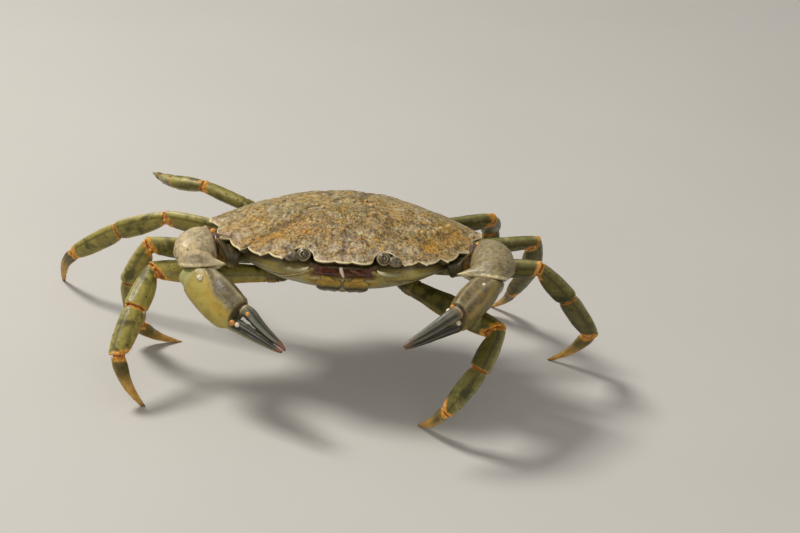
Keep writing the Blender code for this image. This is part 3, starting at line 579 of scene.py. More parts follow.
def mat_knob():
    t = Tree("joint_knob", rough=0.3, coat=0.2, coat_rough=0.15, spec=0.45)
    c = t.ramp(t.noise(0.8, 2, 0.5), (0.35, srgb(176, 160, 128)), (0.65, srgb(226, 216, 194)))
    n = t.bump(t.noise(0.25, 2, 0.5), 0.04, 0.4)
    return t.done(c, None, n)


def mat_knob_orange():
    t = Tree("joint_knob_orange", rough=0.3, coat=0.2, coat_rough=0.15, spec=0.45)
    c = t.ramp(t.noise(0.9, 2, 0.5), (0.36, srgb(168, 96, 22)), (0.64, srgb(218, 160, 70)))
    n = t.bump(t.noise(0.25, 2, 0.5), 0.04, 0.4)
    return t.done(c, None, n)


def mat_eye():
    t = Tree("eye_surface", rough=0.32, coat=0.15, coat_rough=0.15, spec=0.4)
    c = t.ramp(t.noise(0.35, 3, 0.6), (0.38, srgb(46, 36, 22)), (0.5, srgb(84, 70, 44)), (0.62, srgb(122, 104, 70)))
    c = t.mix(t.attr("pupil"), c, srgb(16, 13, 9))
    # the ring colour also lays on the painted glints
    c = t.mix(t.attr("ring"), c, srgb(196, 180, 132))
    c = t.mix(t.attr("lid"), c, srgb(64, 58, 40))
    n = t.bump(t.span(t.cells(0.16), 0.0, 0.5, 1.0, 0.0), 0.015, 0.35)
    return t.done(c, None, n)


def mat_feeler():
    t = Tree("feeler_surface", rough=0.42, coat=0.08, spec=0.4)
    mid = t.noise(0.8, 3, 0.6)
    c = t.ramp(mid, (0.35, srgb(100, 84, 36)), (0.55, srgb(130, 111, 50)), (0.7, srgb(154, 134, 74)))
    c = t.mix(t.math('MULTIPLY', t.attr("band"), 0.6), c, srgb(70, 54, 26))
    c = t.mix(t.attr("pale"), c, srgb(222, 204, 180))
    c = t.mix(t.attr("red"), c, srgb(86, 40, 26))
    n = t.bump(t.noise(0.3, 2, 0.5), 0.05, 0.4)
    return t.done(c, None, n)


def mat_stalk():
    t = Tree("stalk_surface", rough=0.4, coat=0.1, spec=0.4)
    c = t.ramp(t.noise(0.9, 3, 0.6), (0.35, srgb(58, 48, 34)), (0.52, srgb(100, 86, 64)), (0.7, srgb(160, 146, 112)))
    c = t.mix(t.span(t.cells(0.5), 0.1, 0.25, 0.8, 0.0), c, srgb(52, 42, 34))
    n = t.bump(t.noise(0.3, 3, 0.5), 0.05, 0.5)
    return t.done(c, None, n)


def mat_bristle():
    t = Tree("bristle_surface", rough=0.5, spec=0.3)
    c = t.ramp(t.noise(1.5, 2, 0.5), (0.35, srgb(84, 66, 36)), (0.65, srgb(136, 112, 66)))
    return t.done(c)


M_BACK = mat_back()
# the crab's right legs, on the side the key light comes from, get a lighter copy of the leg colours as painted light;
# the left legs keep the darker copy as painted shade
LEG_SHADED_MAT = mat_limb("leg_shell_shaded_side", srgb(100, 93, 38), srgb(50, 48, 16), srgb(150, 142, 88), srgb(174, 124, 50))
LEG_LIT_MAT = mat_limb("leg_shell_lit_side", srgb(146, 134, 62), srgb(80, 74, 26), srgb(192, 180, 118), srgb(196, 142, 58))
M_TOE = mat_limb("shell_toe", srgb(108, 94, 38), srgb(68, 58, 22), srgb(166, 144, 88), srgb(176, 130, 56), dots=False)
M_CLAW = mat_claw("shell_claw")
M_UNDER = mat_under()
M_SKIN = mat_skin()
M_SKIN_D = mat_skin_dark()
M_KNOB = mat_knob()
M_KNOB_O = mat_knob_orange()
M_EYE = mat_eye()
M_FEELER = mat_feeler()
M_STALK = mat_stalk()
M_BRISTLE = mat_bristle()


# ------------------------------------------------------------------ carapace
def margin_half():
    """Margin landmarks of one half with a mark on the sharp ones, from front to rear."""
    pts = [(p, k in (1, 2)) for k, p in enumerate(LOBES)] + [(p, False) for p in ORBIT]
    for tip, notch in TEETH:
        tip_a, notch_a = np.array(tip), np.array(notch)
        out = unit([notch_a[1] - tip_a[1], tip_a[0] - notch_a[0], 0])
        pts += [(tip, True), (tip_a * 0.62 + notch_a * 0.38 + out * 0.75, False),
                (tip_a * 0.25 + notch_a * 0.75 + out * 0.55, False), (notch, True)]
    pts += [(p, False) for p in REAR]
    return [np.array(p, float) for p, _ in pts], [s for _, s in pts]


def margin_loop(steps):
    half, sharp = margin_half()
    loop = half + [p * [-1, 1, 1] for p in half[1:]][::-1]
    sharp = sharp + sharp[1:][::-1]
    n = len(loop)
    out = []
    for i in range(n):
        p1, p2 = loop[i], loop[(i + 1) % n]
        p0 = loop[i - 1] if not sharp[i] else 2 * p1 - p2
        p3 = loop[(i + 2) % n] if not sharp[(i + 1) % n] else 2 * p2 - p1
        count = max(3, int(round(np.linalg.norm(p2 - p1) / steps)))
        for k in range(count):
            t = k / count
            out.append(0.5 * ((2 * p1) + (p2 - p0) * t + (2 * p0 - 5 * p1 + 4 * p2 - p3) * t * t + (3 * p1 - p0 - 3 * p2 + p3) * t ** 3))
    return np.array(out)


def back_height(x, y, r, edge):
    z = DOME * (1 - r ** 2.3) + edge * r ** 2.3
    fade = np.clip(1 - r ** 6, 0, 1)

    def hill(cx, cy, sx, sy, h):
        return h * (np.exp(-((x - cx) / sx) ** 2 - ((y - cy) / sy) ** 2) + np.exp(-((x + cx) / sx) ** 2 - ((y - cy) / sy) ** 2))
    return z + fade * (hill(5.5, -8, 4.5, 5.5, 0.55) + hill(0, 9, 4.0, 5.0, 0.3) + hill(17, 3, 7, 7, 0.5)
                       - hill(9.5, 4.5, 2.2, 4.5, 0.7) - hill(12.5, -10, 3.0, 3.0, 0.5) - hill(0, 2.5, 6.0, 1.3, 0.25)
                       - hill(5.2, 10, 1.4, 4.5, 0.35))


def stroke(x, y, points, width):
    """Closeness, 1 on the line and 0 away from it, to a line through points, on both halves."""
    best = np.full(len(x), 1e9)
    for (ax, ay), (bx, by) in zip(points[:-1], points[1:]):
        dx, dy = bx - ax, by - ay
        ux = np.abs(x)
        t = np.clip(((ux - ax) * dx + (y - ay) * dy) / (dx * dx + dy * dy), 0, 1)
        best = np.minimum(best, np.hypot(ux - ax - t * dx, y - ay - t * dy))
    return np.exp(-(best / width) ** 2)


def build_carapace():
    outer = margin_loop(0.2)
    n = len(outer)
    c = np.array([0, 2.0, 0])
    # each tooth ends in a point that reaches forwards and out
    for k, (tip, notch) in enumerate(TEETH):
        for s in (-1, 1):
            at = np.array([s * tip[0], tip[1], tip[2]])
            way = unit(np.array([s * (0.55 + 0.1 * k), -0.75 + 0.12 * k, 0.0]))
            near = np.linalg.norm(outer - at, axis=1)
            outer = outer + way * (0.5 * np.exp(-(near / 0.55) ** 2))[:, None]
    radii = np.concatenate([np.linspace(0.02, 0.86, 100), 1 - (np.linspace(1, 0, 28) ** 1.5 * 0.133)[1:]])
    # side curve that the teeth stand on: how far out of the smooth margin each point is
    d = np.linalg.norm((outer - c)[:, :2], axis=1)
    kernel = np.hanning(61)
    kernel /= kernel.sum()
    wide = np.convolve(np.r_[d[-60:], d, d[:60]], kernel, 'same')[60:-60]
    tooth = np.clip((d - wide) / 1.2, -1, 1)
    z = outer[:, 2]
    even_edge = np.convolve(np.r_[z[-60:], z, z[:60]], kernel, 'same')[60:-60]
    rows, R, TO, ED = [], [], [], []
    for r in radii:
        ring = c + (outer - c) * r
        tight = back_height(ring[:, 0], ring[:, 1], r, outer[:, 2])
        even = back_height(ring[:, 0], ring[:, 1], np.minimum(d * r / wide, 1.0), even_edge)
        m = smoothstep(1.5, 0.1, (1 - r) * d)
        ring[:, 2] = even * (1 - m) + tight * m
        rows.append(ring)
        R.append(np.full(n, r))
        TO.append(tooth)
        ED.append((1 - r) * d)
    V = np.vstack(rows)
    r, to, ed = np.concatenate(R), np.concatenate(TO), np.concatenate(ED)
    x, y = V[:, 0].copy(), V[:, 1].copy()
    p = np.stack([x, y, np.zeros_like(x)], axis=1)
    xw, yw = x + 0.9 * fbm(p, 4.0, 3, 51), y + 0.9 * fbm(p, 4.0, 3, 61)
    # teeth swell and the notches run a little way in
    side = smoothstep(14.5, 17, np.abs(x)) * smoothstep(6, 1, y)
    V[:, 2] += side * (0.16 * to * np.exp(-(ed / 1.0) ** 2))
    # grooves between the regions
    cerv = stroke(xw, yw, [(4.2, 1.6), (7.8, 0.4), (9.8, -3.6), (11.2, -7.2), (14.6, -8.6), (18.2, -10.8)], 0.8)
    heart = stroke(xw, yw, [(4.0, 3.6), (3.4, 8.0), (4.6, 12.4), (7.6, 17.2)], 0.75)
    gast = stroke(xw, yw, [(0.0, -15.5), (1.6, -11.0), (4.2, -6.0), (5.6, -1.5)], 0.6)
    front = stroke(xw, yw, [(0.0, -20.6), (0.0, -14.5)], 0.7)
    hep = stroke(xw, yw, [(8.0, -12.6), (10.6, -14.8), (13.0, -16.8)], 0.8)
    cross = stroke(xw, yw, [(0.0, 1.4), (4.2, 1.6)], 0.6)
    broken = smoothstep(-0.5, 0.3, fbm(p, 3.0, 2, 71))
    groove = np.maximum.reduce([cerv * 0.8, heart * 0.8, gast * 0.2, front * 0.5, hep * 0.4, cross * 0.6]) * broken
    V[:, 2] -= (0.24 * cerv + 0.24 * heart + 0.06 * gast + 0.18 * front + 0.12 * hep + 0.14 * cross)
    # ridge that runs in from the last tooth, with its row of grains
    ridge = stroke(x, y, [(30.0, -0.6), (26.0, -1.2), (21.8, -3.6), (19.6, -6.0), (17.2, -7.6), (15.6, -7.8)], 0.7)
    V[:, 2] += 0.2 * ridge
    bead = np.zeros(len(V))
    for tx, ty, tr in ((23.4, -0.9, 0.55), (22.6, -2.3, 0.42), (21.7, -3.7, 0.6), (20.9, -5.1, 0.45), (20.0, -6.1, 0.58), (18.7, -7.1, 0.5), (17.2, -7.7, 0.5), (15.9, -7.7, 0.4), (14.6, -7.4, 0.36)):
        for s in (-1, 1):
            k, big = ((0.0, 0.0), 1.0) if s < 0 else ((0.25, 0.15), 1.15)
            b = np.clip(1 - ((x - s * (tx + k[0])) ** 2 + (y - ty - k[1]) ** 2) / (tr * big) ** 2, 0, 1)
            V[:, 2] += 0.65 * np.sqrt(b) * tr
            bead = np.maximum(bead, smoothstep(0.0, 0.6, b) * 0.75)
    # muscle marks: pairs of pits; the lip on the front side of each is painted pale, a painted highlight where light
    # falls into the pit
    for tx, ty, tr in ((5.3, 3.5, 0.8), (6.6, -3.0, 0.85), (7.8, -7.0, 0.65), (9.6, -7.0, 0.6), (13.2, -4.2, 0.6)):
        for s in (-1, 1):
            q = np.hypot((x - s * tx) / 1.5, y - ty)
            V[:, 2] += -0.22 * np.exp(-(q / (tr * 0.55)) ** 2) + 0.12 * np.exp(-((q - tr * 0.95) / 0.25) ** 2)
            if ty > -4:
                bead = np.maximum(bead, 0.6 * np.exp(-((q - tr * 0.9) / 0.25) ** 2) * (y < ty - 0.1))
            groove = np.maximum(groove, 0.7 * np.exp(-(q / (tr * 0.6)) ** 2))
    # low knobs across the middle of the back, each with a hollow beside it on the side away from the key light,
    # darkened as painted shadow
    for tx, ty, tr in ((-5.6, -1.2, 0.7), (-7.0, 1.0, 0.6), (5.4, 2.0, 0.75), (6.4, -3.4, 0.9), (7.9, -0.6, 0.55), (-4.4, 2.2, 0.55), (4.3, 4.6, 0.5), (-8.4, -2.6, 0.5), (9.0, -4.4, 0.5)):
        b = np.clip(1 - ((x - tx) ** 2 + (y - ty) ** 2) / tr ** 2, 0, 1)
        V[:, 2] += 0.55 * np.sqrt(b) * tr
        bead = np.maximum(bead, smoothstep(0.1, 0.8, b) * 0.85)
        shadow_hollow = np.exp(-(((x - tx - 0.3) / (1.3 * tr)) ** 2 + ((y - ty + 1.35 * tr) / (0.6 * tr)) ** 2))
        V[:, 2] -= 0.25 * shadow_hollow
        groove = np.maximum(groove, 0.95 * shadow_hollow)
    # grains: coarse on the front half and the swellings, finer behind
    forward = smoothstep(16, -6, y)
    inner = smoothstep(0.25, 1.0, ed)
    patchy = 0.35 + 0.65 * smoothstep(-0.25, 0.35, fbm(p, 4.0, 2, 11))
    g1 = grains(p, 0.85, 21, 0.2, 0.46, 0.8, flat=True)
    g2 = grains(p, 0.5, 31, 0.25, 0.5, 0.85, flat=True)
    amp1 = 0.30 * (0.30 + 0.70 * forward) * patchy * inner
    V[:, 2] += amp1 * g1 + 0.10 * (0.5 + 0.5 * forward) * g2 * inner
    V[:, 2] += (0.11 * fbm(p, 1.4, 2, 5) + 0.24 * fbm(p, 3.2, 2, 15)) * inner
    # raised, finely beaded rim
    fr = smoothstep(9, 2, y)
    rim_h = np.exp(-((ed - 0.26) / 0.2) ** 2)
    beads = 0.5 + 0.5 * np.sin(np.arctan2(y - 2, x) * 260)
    V[:, 2] += rim_h * (0.06 + 0.12 * beads * fr) * (0.35 + 0.65 * fr)
    tipness = smoothstep(0.35, 0.9, to) * np.exp(-(ed / 0.5) ** 2) * side
    rim = np.clip(np.exp(-(ed / 0.20) ** 2) * (0.10 + 0.90 * fr) * (0.6 + 0.4 * beads), 0, 1)
    rim = np.clip(rim + 0.75 * tipness, 0, 0.95)

    # colour fields, each half its own, as on a living animal
    def spot(cx, cy, sx, sy, amount=1.0):
        return amount * np.exp(-((xw - cx) / sx) ** 2 - ((yw - cy) / sy) ** 2)
    ochre = np.clip(spot(-17.5, -12.5, 5.0, 2.2) + spot(-8.6, -12.6, 1.6, 1.0, 1.2) + spot(19.5, -12.0, 2.8, 2.2) + spot(24.5, -4.5, 3.0, 3.4, 0.8)
                    + spot(-22.5, -5.5, 4.5, 2.6, 0.6) + spot(-11.0, -8.0, 4.0, 2.2, 0.55) + spot(11.5, -4.0, 4.0, 3.0, 0.45) + spot(8.0, 5.0, 5.0, 3.0, 0.4)
                    + spot(-9.0, 6.0, 5.0, 3.0, 0.4), 0, 1)
    rust = np.clip(spot(3.9, -14.0, 2.4, 1.2, 1.1) + spot(-4.5, -13.0, 4.2, 1.8, 0.8) + spot(-10.4, -9.4, 4.0, 2.4, 0.55) + spot(-1.5, -8.0, 4.5, 2.4, 0.5)
                   + spot(22.0, -8.0, 2.2, 1.6, 0.5) + spot(9.0, -9.5, 3.0, 2.0, 0.45), 0, 1)
    violet = np.clip(0.75 * np.exp(-(ed / 1.9) ** 2) * fr + spot(0.4, -17.2, 5.0, 2.4, 0.95) + spot(-25.0, -7.5, 2.6, 2.6, 0.7) + spot(14.0, -14.6, 3.2, 2.0, 0.85)
                     + spot(-4.2, -10.4, 1.5, 0.9, 0.9) + spot(-12.5, -16.0, 3.0, 1.6, 0.5) + spot(6.0, -9.5, 2.0, 1.4, 0.5) + spot(15.0, 2.0, 5.0, 5.0, 0.35), 0, 1)
    olive = np.clip(smoothstep(-3.0, 6.0, y) * 0.8 + spot(-14.0, -1.0, 6.0, 4.0, 0.5), 0, 1)
    grain = np.clip(g1 * patchy * forward * 0.9 + 0.35 * g2, 0, 1) * inner
    attrs = {"rim": rim, "ochre": ochre, "rust": rust, "violet": violet, "olive": olive, "grain": grain, "groove": np.clip(groove, 0, 1), "bead": bead,
             "under": np.zeros(len(V))}
    # edge and underside, marked to be painted dark: painted shade under the margin
    extra, under = [], []
    for depth, inset, u_ in ((0.10, -0.02, 0.0), (0.26, 0.06, 0.7), (0.50, 0.35, 1.0), (0.80, 0.80, 1.0), (1.10, 1.40, 1.0)):
        u = outer.copy()
        v = outer - c
        v[:, 2] = 0
        u -= v / np.linalg.norm(v, axis=1)[:, None] * inset
        u[:, 2] = outer[:, 2] - depth
        extra.append(u)
        under.append(np.full(n, u_))
    for k in (0.84, 0.5, 0.2):
        u = c + (outer - c) * k
        u[:, 2] = -1.75
        extra.append(u)
        under.append(np.ones(n))
    E = np.vstack(extra)
    m = len(extra)
    rim_extra = np.concatenate([np.full(n, v) for v in (0.75, 0.0, 0.0, 0.0, 0.0, 0.0, 0.0, 0.0)])
    rim_extra = rim_extra * (0.15 + 0.85 * smoothstep(9, 2, E[:, 1]))
    for k in attrs:
        attrs[k] = np.concatenate([attrs[k], rim_extra if k == "rim" else np.concatenate(under) if k == "under" else np.zeros(len(E))])
    V = np.vstack([V, E])
    V, Q, T = with_caps(V, len(radii) + m, n)
    V[-2] = [0, 2.0, V[:n, 2].mean()]
    for k in attrs:
        attrs[k] = np.concatenate([attrs[k], [attrs[k][:n].mean(), 1.0 if k == "under" else 0.0]])
    return piece("carapace_shell", tilt(V), Q, T, M_BACK, attrs, ("carapace",))


build_carapace()


# ------------------------------------------------------------------ trunk: side walls, mouth field, sternum
def level_ring(angles, hw, front, rear):
    cy, hl = (front + rear) / 2, (rear - front) / 2
    c, s = np.cos(angles), np.sin(angles)
    e = 2 / 2.5
    return np.stack([hw * np.sign(c) * np.abs(c) ** e, cy + hl * np.sign(s) * np.abs(s) ** e], axis=1)


def build_trunk():
    n = 420
    c = np.array([0, 2.0, 0])
    angles = np.arange(n) / n * 2 * math.pi
    half = [LOBES[0], LOBES[-1]] + ORBIT[1:4] + [t[1] for t in TEETH[:4]] + [(29.6, 1.5, 0.0)] + REAR
    half = [np.array(p, float) for p in half]
    loop = np.array(half + [p * [-1, 1, 1] for p in half[1:]][::-1])
    v = loop - c
    v[:, 2] = 0
    inner = loop - v / np.linalg.norm(v, axis=1)[:, None] * 1.5
    v = inner - c
    ang = np.arctan2(v[:, 1] / 23.0, v[:, 0] / 29.0) % (2 * math.pi)
    order = np.argsort(ang)
    def read(k):
        raw = np.interp(angles, ang[order], inner[order, k], period=2 * math.pi)
        ker = np.hanning(15)
        ker /= ker.sum()
        return np.convolve(np.r_[raw[-14:], raw, raw[:14]], ker, 'same')[14:-14]
    top = np.stack([read(0), read(1), np.minimum(read(2) - RIM * 1.25, -1.2) - GAP - 0.1], axis=1)
    lv = np.array(LEVELS)
    rows = []
    for k in (0.5, 0.85):
        q = c + (top - c) * k
        q[:, 2] = -1.7 - GAP - 0.1
        rows.append(q)
    zs = np.linspace(0, 1, 46)
    for s in zs:
        # s runs down the wall: 0 at the margin, 1 at the sternum
        z = -2.2 - s * (12.8 - 2.2)
        w = smoothstep(0.0, 0.22, s)
        zz = min(z, lv[0, 0])
        par = [monotone(-lv[:, 0], lv[:, k], np.array([-zz]))[0] for k in (1, 2, 3)]
        ring = level_ring(angles, *par)
        q = np.empty((n, 3))
        q[:, :2] = top[:, :2] * (1 - w) + ring * w
        q[:, 2] = top[:, 2] * (1 - w) + z * w if s < 0.25 else z
        rows.append(q)
    for k, dz in ((0.97, -0.16), (0.9, -0.22), (0.75, -0.2), (0.5, -0.15), (0.25, -0.1)):
        ring = level_ring(angles, *lv[-1, 1:])
        mid = np.array([0, (lv[-1, 2] + lv[-1, 3]) / 2])
        q = np.empty((n, 3))
        q[:, :2] = mid + (ring - mid) * k
        q[:, 2] = -12.8 + dz
        rows.append(q)
    V = np.vstack(rows)
    x, y, z = V[:, 0].copy(), V[:, 1].copy(), V[:, 2].copy()
    ctr = np.array([0, 2.0, -5.0])
    out = unit((V - ctr) * [1, 1, 0.6])
    disp = np.zeros(len(V))
    # hollow under the front, where the antennules fold away
    cave = smoothstep(8.2, 6.6, np.abs(x)) * smoothstep(-1.7, -2.2, z) * smoothstep(-4.9, -4.1, z) * (y < -12)
    disp -= 1.7 * cave
    lip = np.exp(-((z + 4.9) / 0.3) ** 2) * smoothstep(8.0, 6.0, np.abs(x)) * (y < -12)
    disp += 0.25 * lip
    # line along the side wall and the seams between the leg bases
    seam = np.exp(-((z + 5.1 + 0.10 * (np.abs(x) - 12)) / 0.22) ** 2) * smoothstep(9.0, 11.0, np.abs(x)) * smoothstep(4, 0, y)
    disp -= 0.3 * seam
    stern = np.zeros(len(V))
    for yy in (-9.0, -1.6, 5.4, 12.2):
        stern = np.maximum(stern, np.exp(-((y - yy - 0.12 * np.abs(x)) / 0.35) ** 2))
    stern *= smoothstep(-8.0, -9.5, z) * smoothstep(3.0, 5.0, np.abs(x))
    disp -= 0.35 * stern
    mid = np.exp(-(x / 0.35) ** 2) * smoothstep(-10.5, -12.0, z) * (y < 2)
    disp -= 0.25 * mid
    disp += 0.08 * fbm(V, 1.6, 3, 3)
    V = V + out * disp[:, None]
    blue = np.clip(np.exp(-((z + 6.2) / 1.3) ** 2) * smoothstep(7, 10, np.abs(x)) + 0.8 * smoothstep(-9.5, -12.5, z) * (0.5 + 0.5 * fbm(V, 6.0, 2, 9)), 0, 1)
    side_line = np.exp(-((z + 3.5 + 0.05 * (np.abs(x) - 12)) / 0.16) ** 2) * smoothstep(8.5, 10.5, np.abs(x)) * smoothstep(6, 1, y)
    # painted shade: dark right under the carapace margin, far out towards the claws and on the lower wall
    deep = np.clip(smoothstep(-2.9, -2.2, z) * 0.8 + smoothstep(16.0, 23.0, np.abs(x)) * 0.85 + smoothstep(-6.6, -8.6, z) * 0.55, 0, 0.92)
    gold = smoothstep(9.0, 6.5, np.abs(x)) * np.exp(-((z + 5.6) / 0.8) ** 2) * (y < -10)
    attrs = {"cave": np.clip(cave * 1.2, 0, 1), "groove": np.clip(seam + stern + mid, 0, 1), "blue": blue * 0.6,
             "rim": np.clip(lip * 0.25, 0, 1), "line": side_line, "deep": deep, "gold": gold}
    V, Q, T = with_caps(V, len(rows), n)
    return piece("trunk_shell", tilt(V), Q, T, M_UNDER, attrs, ("trunk",))


build_trunk()


# ------------------------------------------------------------------ limbs
_half = margin_half()[0]
_loop = np.array(_half + [q * [-1, 1, 1] for q in _half[1:]][::-1])
_ang = np.arctan2(_loop[:, 1] - 2.0, _loop[:, 0]) % (2 * math.pi)
_order = np.argsort(_ang)


def pressed_under(points):
    """Points of a limb, moved down where they would meet the margin of the carapace."""
    b = untilt(points)
    here = np.arctan2(b[:, 1] - 2.0, b[:, 0]) % (2 * math.pi)
    reach = np.interp(here, _ang[_order], np.hypot(_loop[_order, 0], _loop[_order, 1] - 2.0), period=2 * math.pi)
    edge = np.interp(here, _ang[_order], _loop[_order, 2], period=2 * math.pi)
    dist = np.hypot(b[:, 0], b[:, 1] - 2.0)
    e = dist - reach
    inner = -1.7 - GAP - 0.15
    lip = edge - RIM * 1.25 - GAP
    t = np.clip((dist / reach - 0.84) / np.maximum(1 - 1.3 / reach - 0.84, 0.02), 0, 1)
    roof = np.where(e < -1.3, inner * (1 - t) + lip * t, 0.0)
    u = np.clip((e + 1.3) / 1.3, 0, 1)
    roof = np.where(e >= -1.3, lip * (1 - u) + (edge - 1.05) * u + np.clip(e - 0.8, 0, None) * 0.9, roof)
    k = 0.3
    x = (roof - b[:, 2]) / k
    b[:, 2] = roof - k * (np.maximum(x, 0) + np.log1p(np.exp(-np.abs(x))))
    return tilt(b)


def direction(side, bearing, rise):
    b, r = math.radians(bearing), math.radians(rise)
    return np.array([side * math.cos(r) * math.cos(b), math.cos(r) * math.sin(b), math.sin(r)])


def joints(name):
    (bx, by, bz), segs = POSE[name]
    side = 1 if name.endswith('left') else -1
    p = [np.array([side * bx, by, bz])]
    for length, bearing, rise in segs:
        p.append(p[-1] + direction(side, bearing, rise) * length)
    if name.startswith('leg') and name != 'leg5_right':
        p[-1][2] = 0.0
    return p


def limb_frame(p):
    m = unit(np.cross(p[1] - p[0], p[3] - p[1]))
    up = np.cross(m, unit(p[1] - p[0]))
    return m if up[2] > 0 else -m


def mitre(p, k, shift):
    d0, d1 = unit(p[k] - p[k - 1]), unit(p[k + 1] - p[k])
    m = unit(d0 + d1)
    return (p[k] + m * shift, m)


def wrist(p, side, shift):
    """Plane of a wrist, moved along the limb by shift."""
    lift, n = WRIST[side]
    n = unit(np.array(n))
    return (p[2] + np.array([0, 0, lift]) + n * shift, n)


def shell(a, b, normal, profile, start, end, size=1.0, ns=64, length_step=0.32, notch0=None, notch1=None,
          detail=None, bump=None, lip=0.1, closed_tip=False, recess=0.6, bow=0.0, press=False, close0=0.0, close1=0.0):
    """Fine version of a limb piece.  Returns points, faces and, for each point, its place
    along the piece, its angle about it and its distance from the two ends."""
    L = np.linalg.norm(b - a)
    d = (b - a) / L
    nn = normal - np.dot(normal, d) * d
    nn = nn / np.linalg.norm(nn)
    up = np.cross(nn, d)
    prof = np.array(profile)
    nt = max(14, int(L / length_step))
    t = np.linspace(0, 1, nt)
    # more rings near the ends
    t = np.clip(t - 0.06 * np.sin(2 * math.pi * t) / math.pi, 0, 1)
    phi = np.arange(ns) / ns * 2 * math.pi
    c, s = np.cos(phi), np.sin(phi)
    cu, sv = np.sign(c) * np.abs(c) ** 0.9, np.sign(s) * np.abs(s) ** 0.9
    hh = monotone(prof[:, 0], prof[:, 1], t) * size * 1.03
    ht = monotone(prof[:, 0], prof[:, 2], t) * size * 1.03

    def off(h1, h2):
        return up * (h1 * cu)[:, None] + nn * (h2 * sv)[:, None]
    e0, e1 = off(hh[0], ht[0]), off(hh[-1], ht[-1])
    s0 = ((start[0] - a - e0) @ start[1]) / np.dot(d, start[1])
    s1 = ((end[0] - a - e1) @ end[1]) / np.dot(d, end[1])
    if notch0 is not None:
        s0 = s0 + notch0(phi)
    if notch1 is not None:
        s1 = s1 - notch1(phi)
    rows, tt, pp, ea, eb = [], [], [], [], []
    for k in range(nt):
        o = off(hh[k], ht[k]) + up * (bow * math.sin(math.pi * t[k]))
        sk = s0 + (s1 - s0) * t[k]
        from0, from1 = sk - s0, s1 - sk
        # the ends draw in a little, like the edge of a dried shell
        rad = 1 - 0.05 * np.exp(-(from0 / 0.18) ** 2) - close0 * np.exp(-(from0 / 0.9) ** 2)
        if not closed_tip:
            rad = rad + lip * np.exp(-(from1 / 0.55) ** 2) * 0.35 - 0.05 * np.exp(-(from1 / 0.18) ** 2) - close1 * np.exp(-(from1 / 0.9) ** 2)
        q = a + o * rad[:, None] + d * sk[:, None]
        rows.append(q)
        tt.append(np.full(ns, t[k]))
        pp.append(phi)
        ea.append(from0)
        eb.append(from1)
    V = np.vstack(rows)
    tt, pp, ea, eb = np.concatenate(tt), np.concatenate(pp), np.concatenate(ea), np.concatenate(eb)
    ee = ea if closed_tip else np.minimum(ea, eb)
    radial = unit(np.cos(pp)[:, None] * up / 1.0 + np.sin(pp)[:, None] * nn)
    if detail is not None:
        V = V + radial * (detail(tt, pp, V, ee) * smoothstep(0.0, 0.5, ee))[:, None]
    drawn = np.zeros((ns, 3))
    if bump is not None:
        V = V + bump(tt, pp, radial)
        drawn = bump(np.ones(ns), phi, radial[-ns:])
    # rounded lip, then a step back inside
    head, tail = [], []
    for rad, back in ((0.93, 0.03), (0.84, recess * 0.5), (0.7, recess)):
        head.append(a + e0 * rad * (1 - close0) + d * (s0 + back)[:, None])
        tail.append(a + e1 * rad * (1 - close1) + d * (s1 - back)[:, None] + drawn * min(1.0, 1.25 * rad - 0.18))
    head = head[::-1]
    if closed_tip:
        tail = [a + e1 * 0.6 + d * s1[:, None]]
    V = np.vstack([np.vstack(head), V, np.vstack(tail)])
    if press:
        V = pressed_under(V)
        over = (V - end[0]) @ end[1]
        V = V - d * (np.clip(over, 0, None) / np.dot(d, end[1]))[:, None]
    k0, k1 = len(head) * ns, len(tail) * ns
    tt = np.concatenate([np.zeros(k0), tt, np.ones(k1)])
    pp = np.concatenate([np.tile(phi, len(head)), pp, np.tile(phi, len(tail))])
    ea = np.concatenate([np.full(k0, -0.1), ea, np.full(k1, 9.0)])
    eb = np.concatenate([np.full(k0, 9.0), eb, np.full(k1, -0.1 if not closed_tip else 0.0)])
    V, Q, T = with_caps(V, nt + len(head) + len(tail), ns)
    tt, pp = np.append(tt, [0, 1]), np.append(pp, [0, 0])
    ea, eb = np.append(ea, [-0.1, 9.0]), np.append(eb, [9.0, -0.1])
    return V, Q, T, tt, pp, (ea, eb), (a, d, up, nn, L)


def skin_tube(p, k, r0, r1, normal, reach0, reach1, ns=40, nt=26, wrinkle=0.05):
    """Soft skin that shows between two shell pieces: a short tube round the bend."""
    d0, d1 = unit(p[k] - p[k - 1]), unit(p[k + 1] - p[k])
    a, b, c = p[k] - d0 * reach0, p[k], p[k] + d1 * reach1
    phi = np.arange(ns) / ns * 2 * math.pi
    rows = []
    for i in range(nt):
        t = i / (nt - 1)
        q = (1 - t) ** 2 * a + 2 * t * (1 - t) * b + t * t * c
        d = unit((1 - t) * (b - a) + t * (c - b))
        nn = unit(normal - np.dot(normal, d) * d)
        up = np.cross(nn, d)
        hh, ht = r0[0] * (1 - t) + r1[0] * t, r0[1] * (1 - t) + r1[1] * t
        w = 1 + wrinkle * math.sin(t * 26.0) * math.sin(math.pi * t)
        if i in (0, nt - 1):
            w *= 0.6
        rows.append(q + up * (hh * w * np.cos(phi))[:, None] + nn * (ht * w * np.sin(phi))[:, None])
    return with_caps(np.vstack(rows), nt, ns) + ({},)


def ball_mesh(centre, radius, ns=20, rows=12, squash=(1, 1, 1)):
    out = []
    for j in range(rows):
        th = (j + 0.5) / rows * math.pi
        a = np.arange(ns) / ns * 2 * math.pi
        out.append(np.stack([math.sin(th) * np.cos(a) * squash[0], math.sin(th) * np.sin(a) * squash[1], np.full(ns, math.cos(th) * squash[2])], axis=1) * radius + centre)
    return with_caps(np.vstack(out), rows, ns) + ({},)


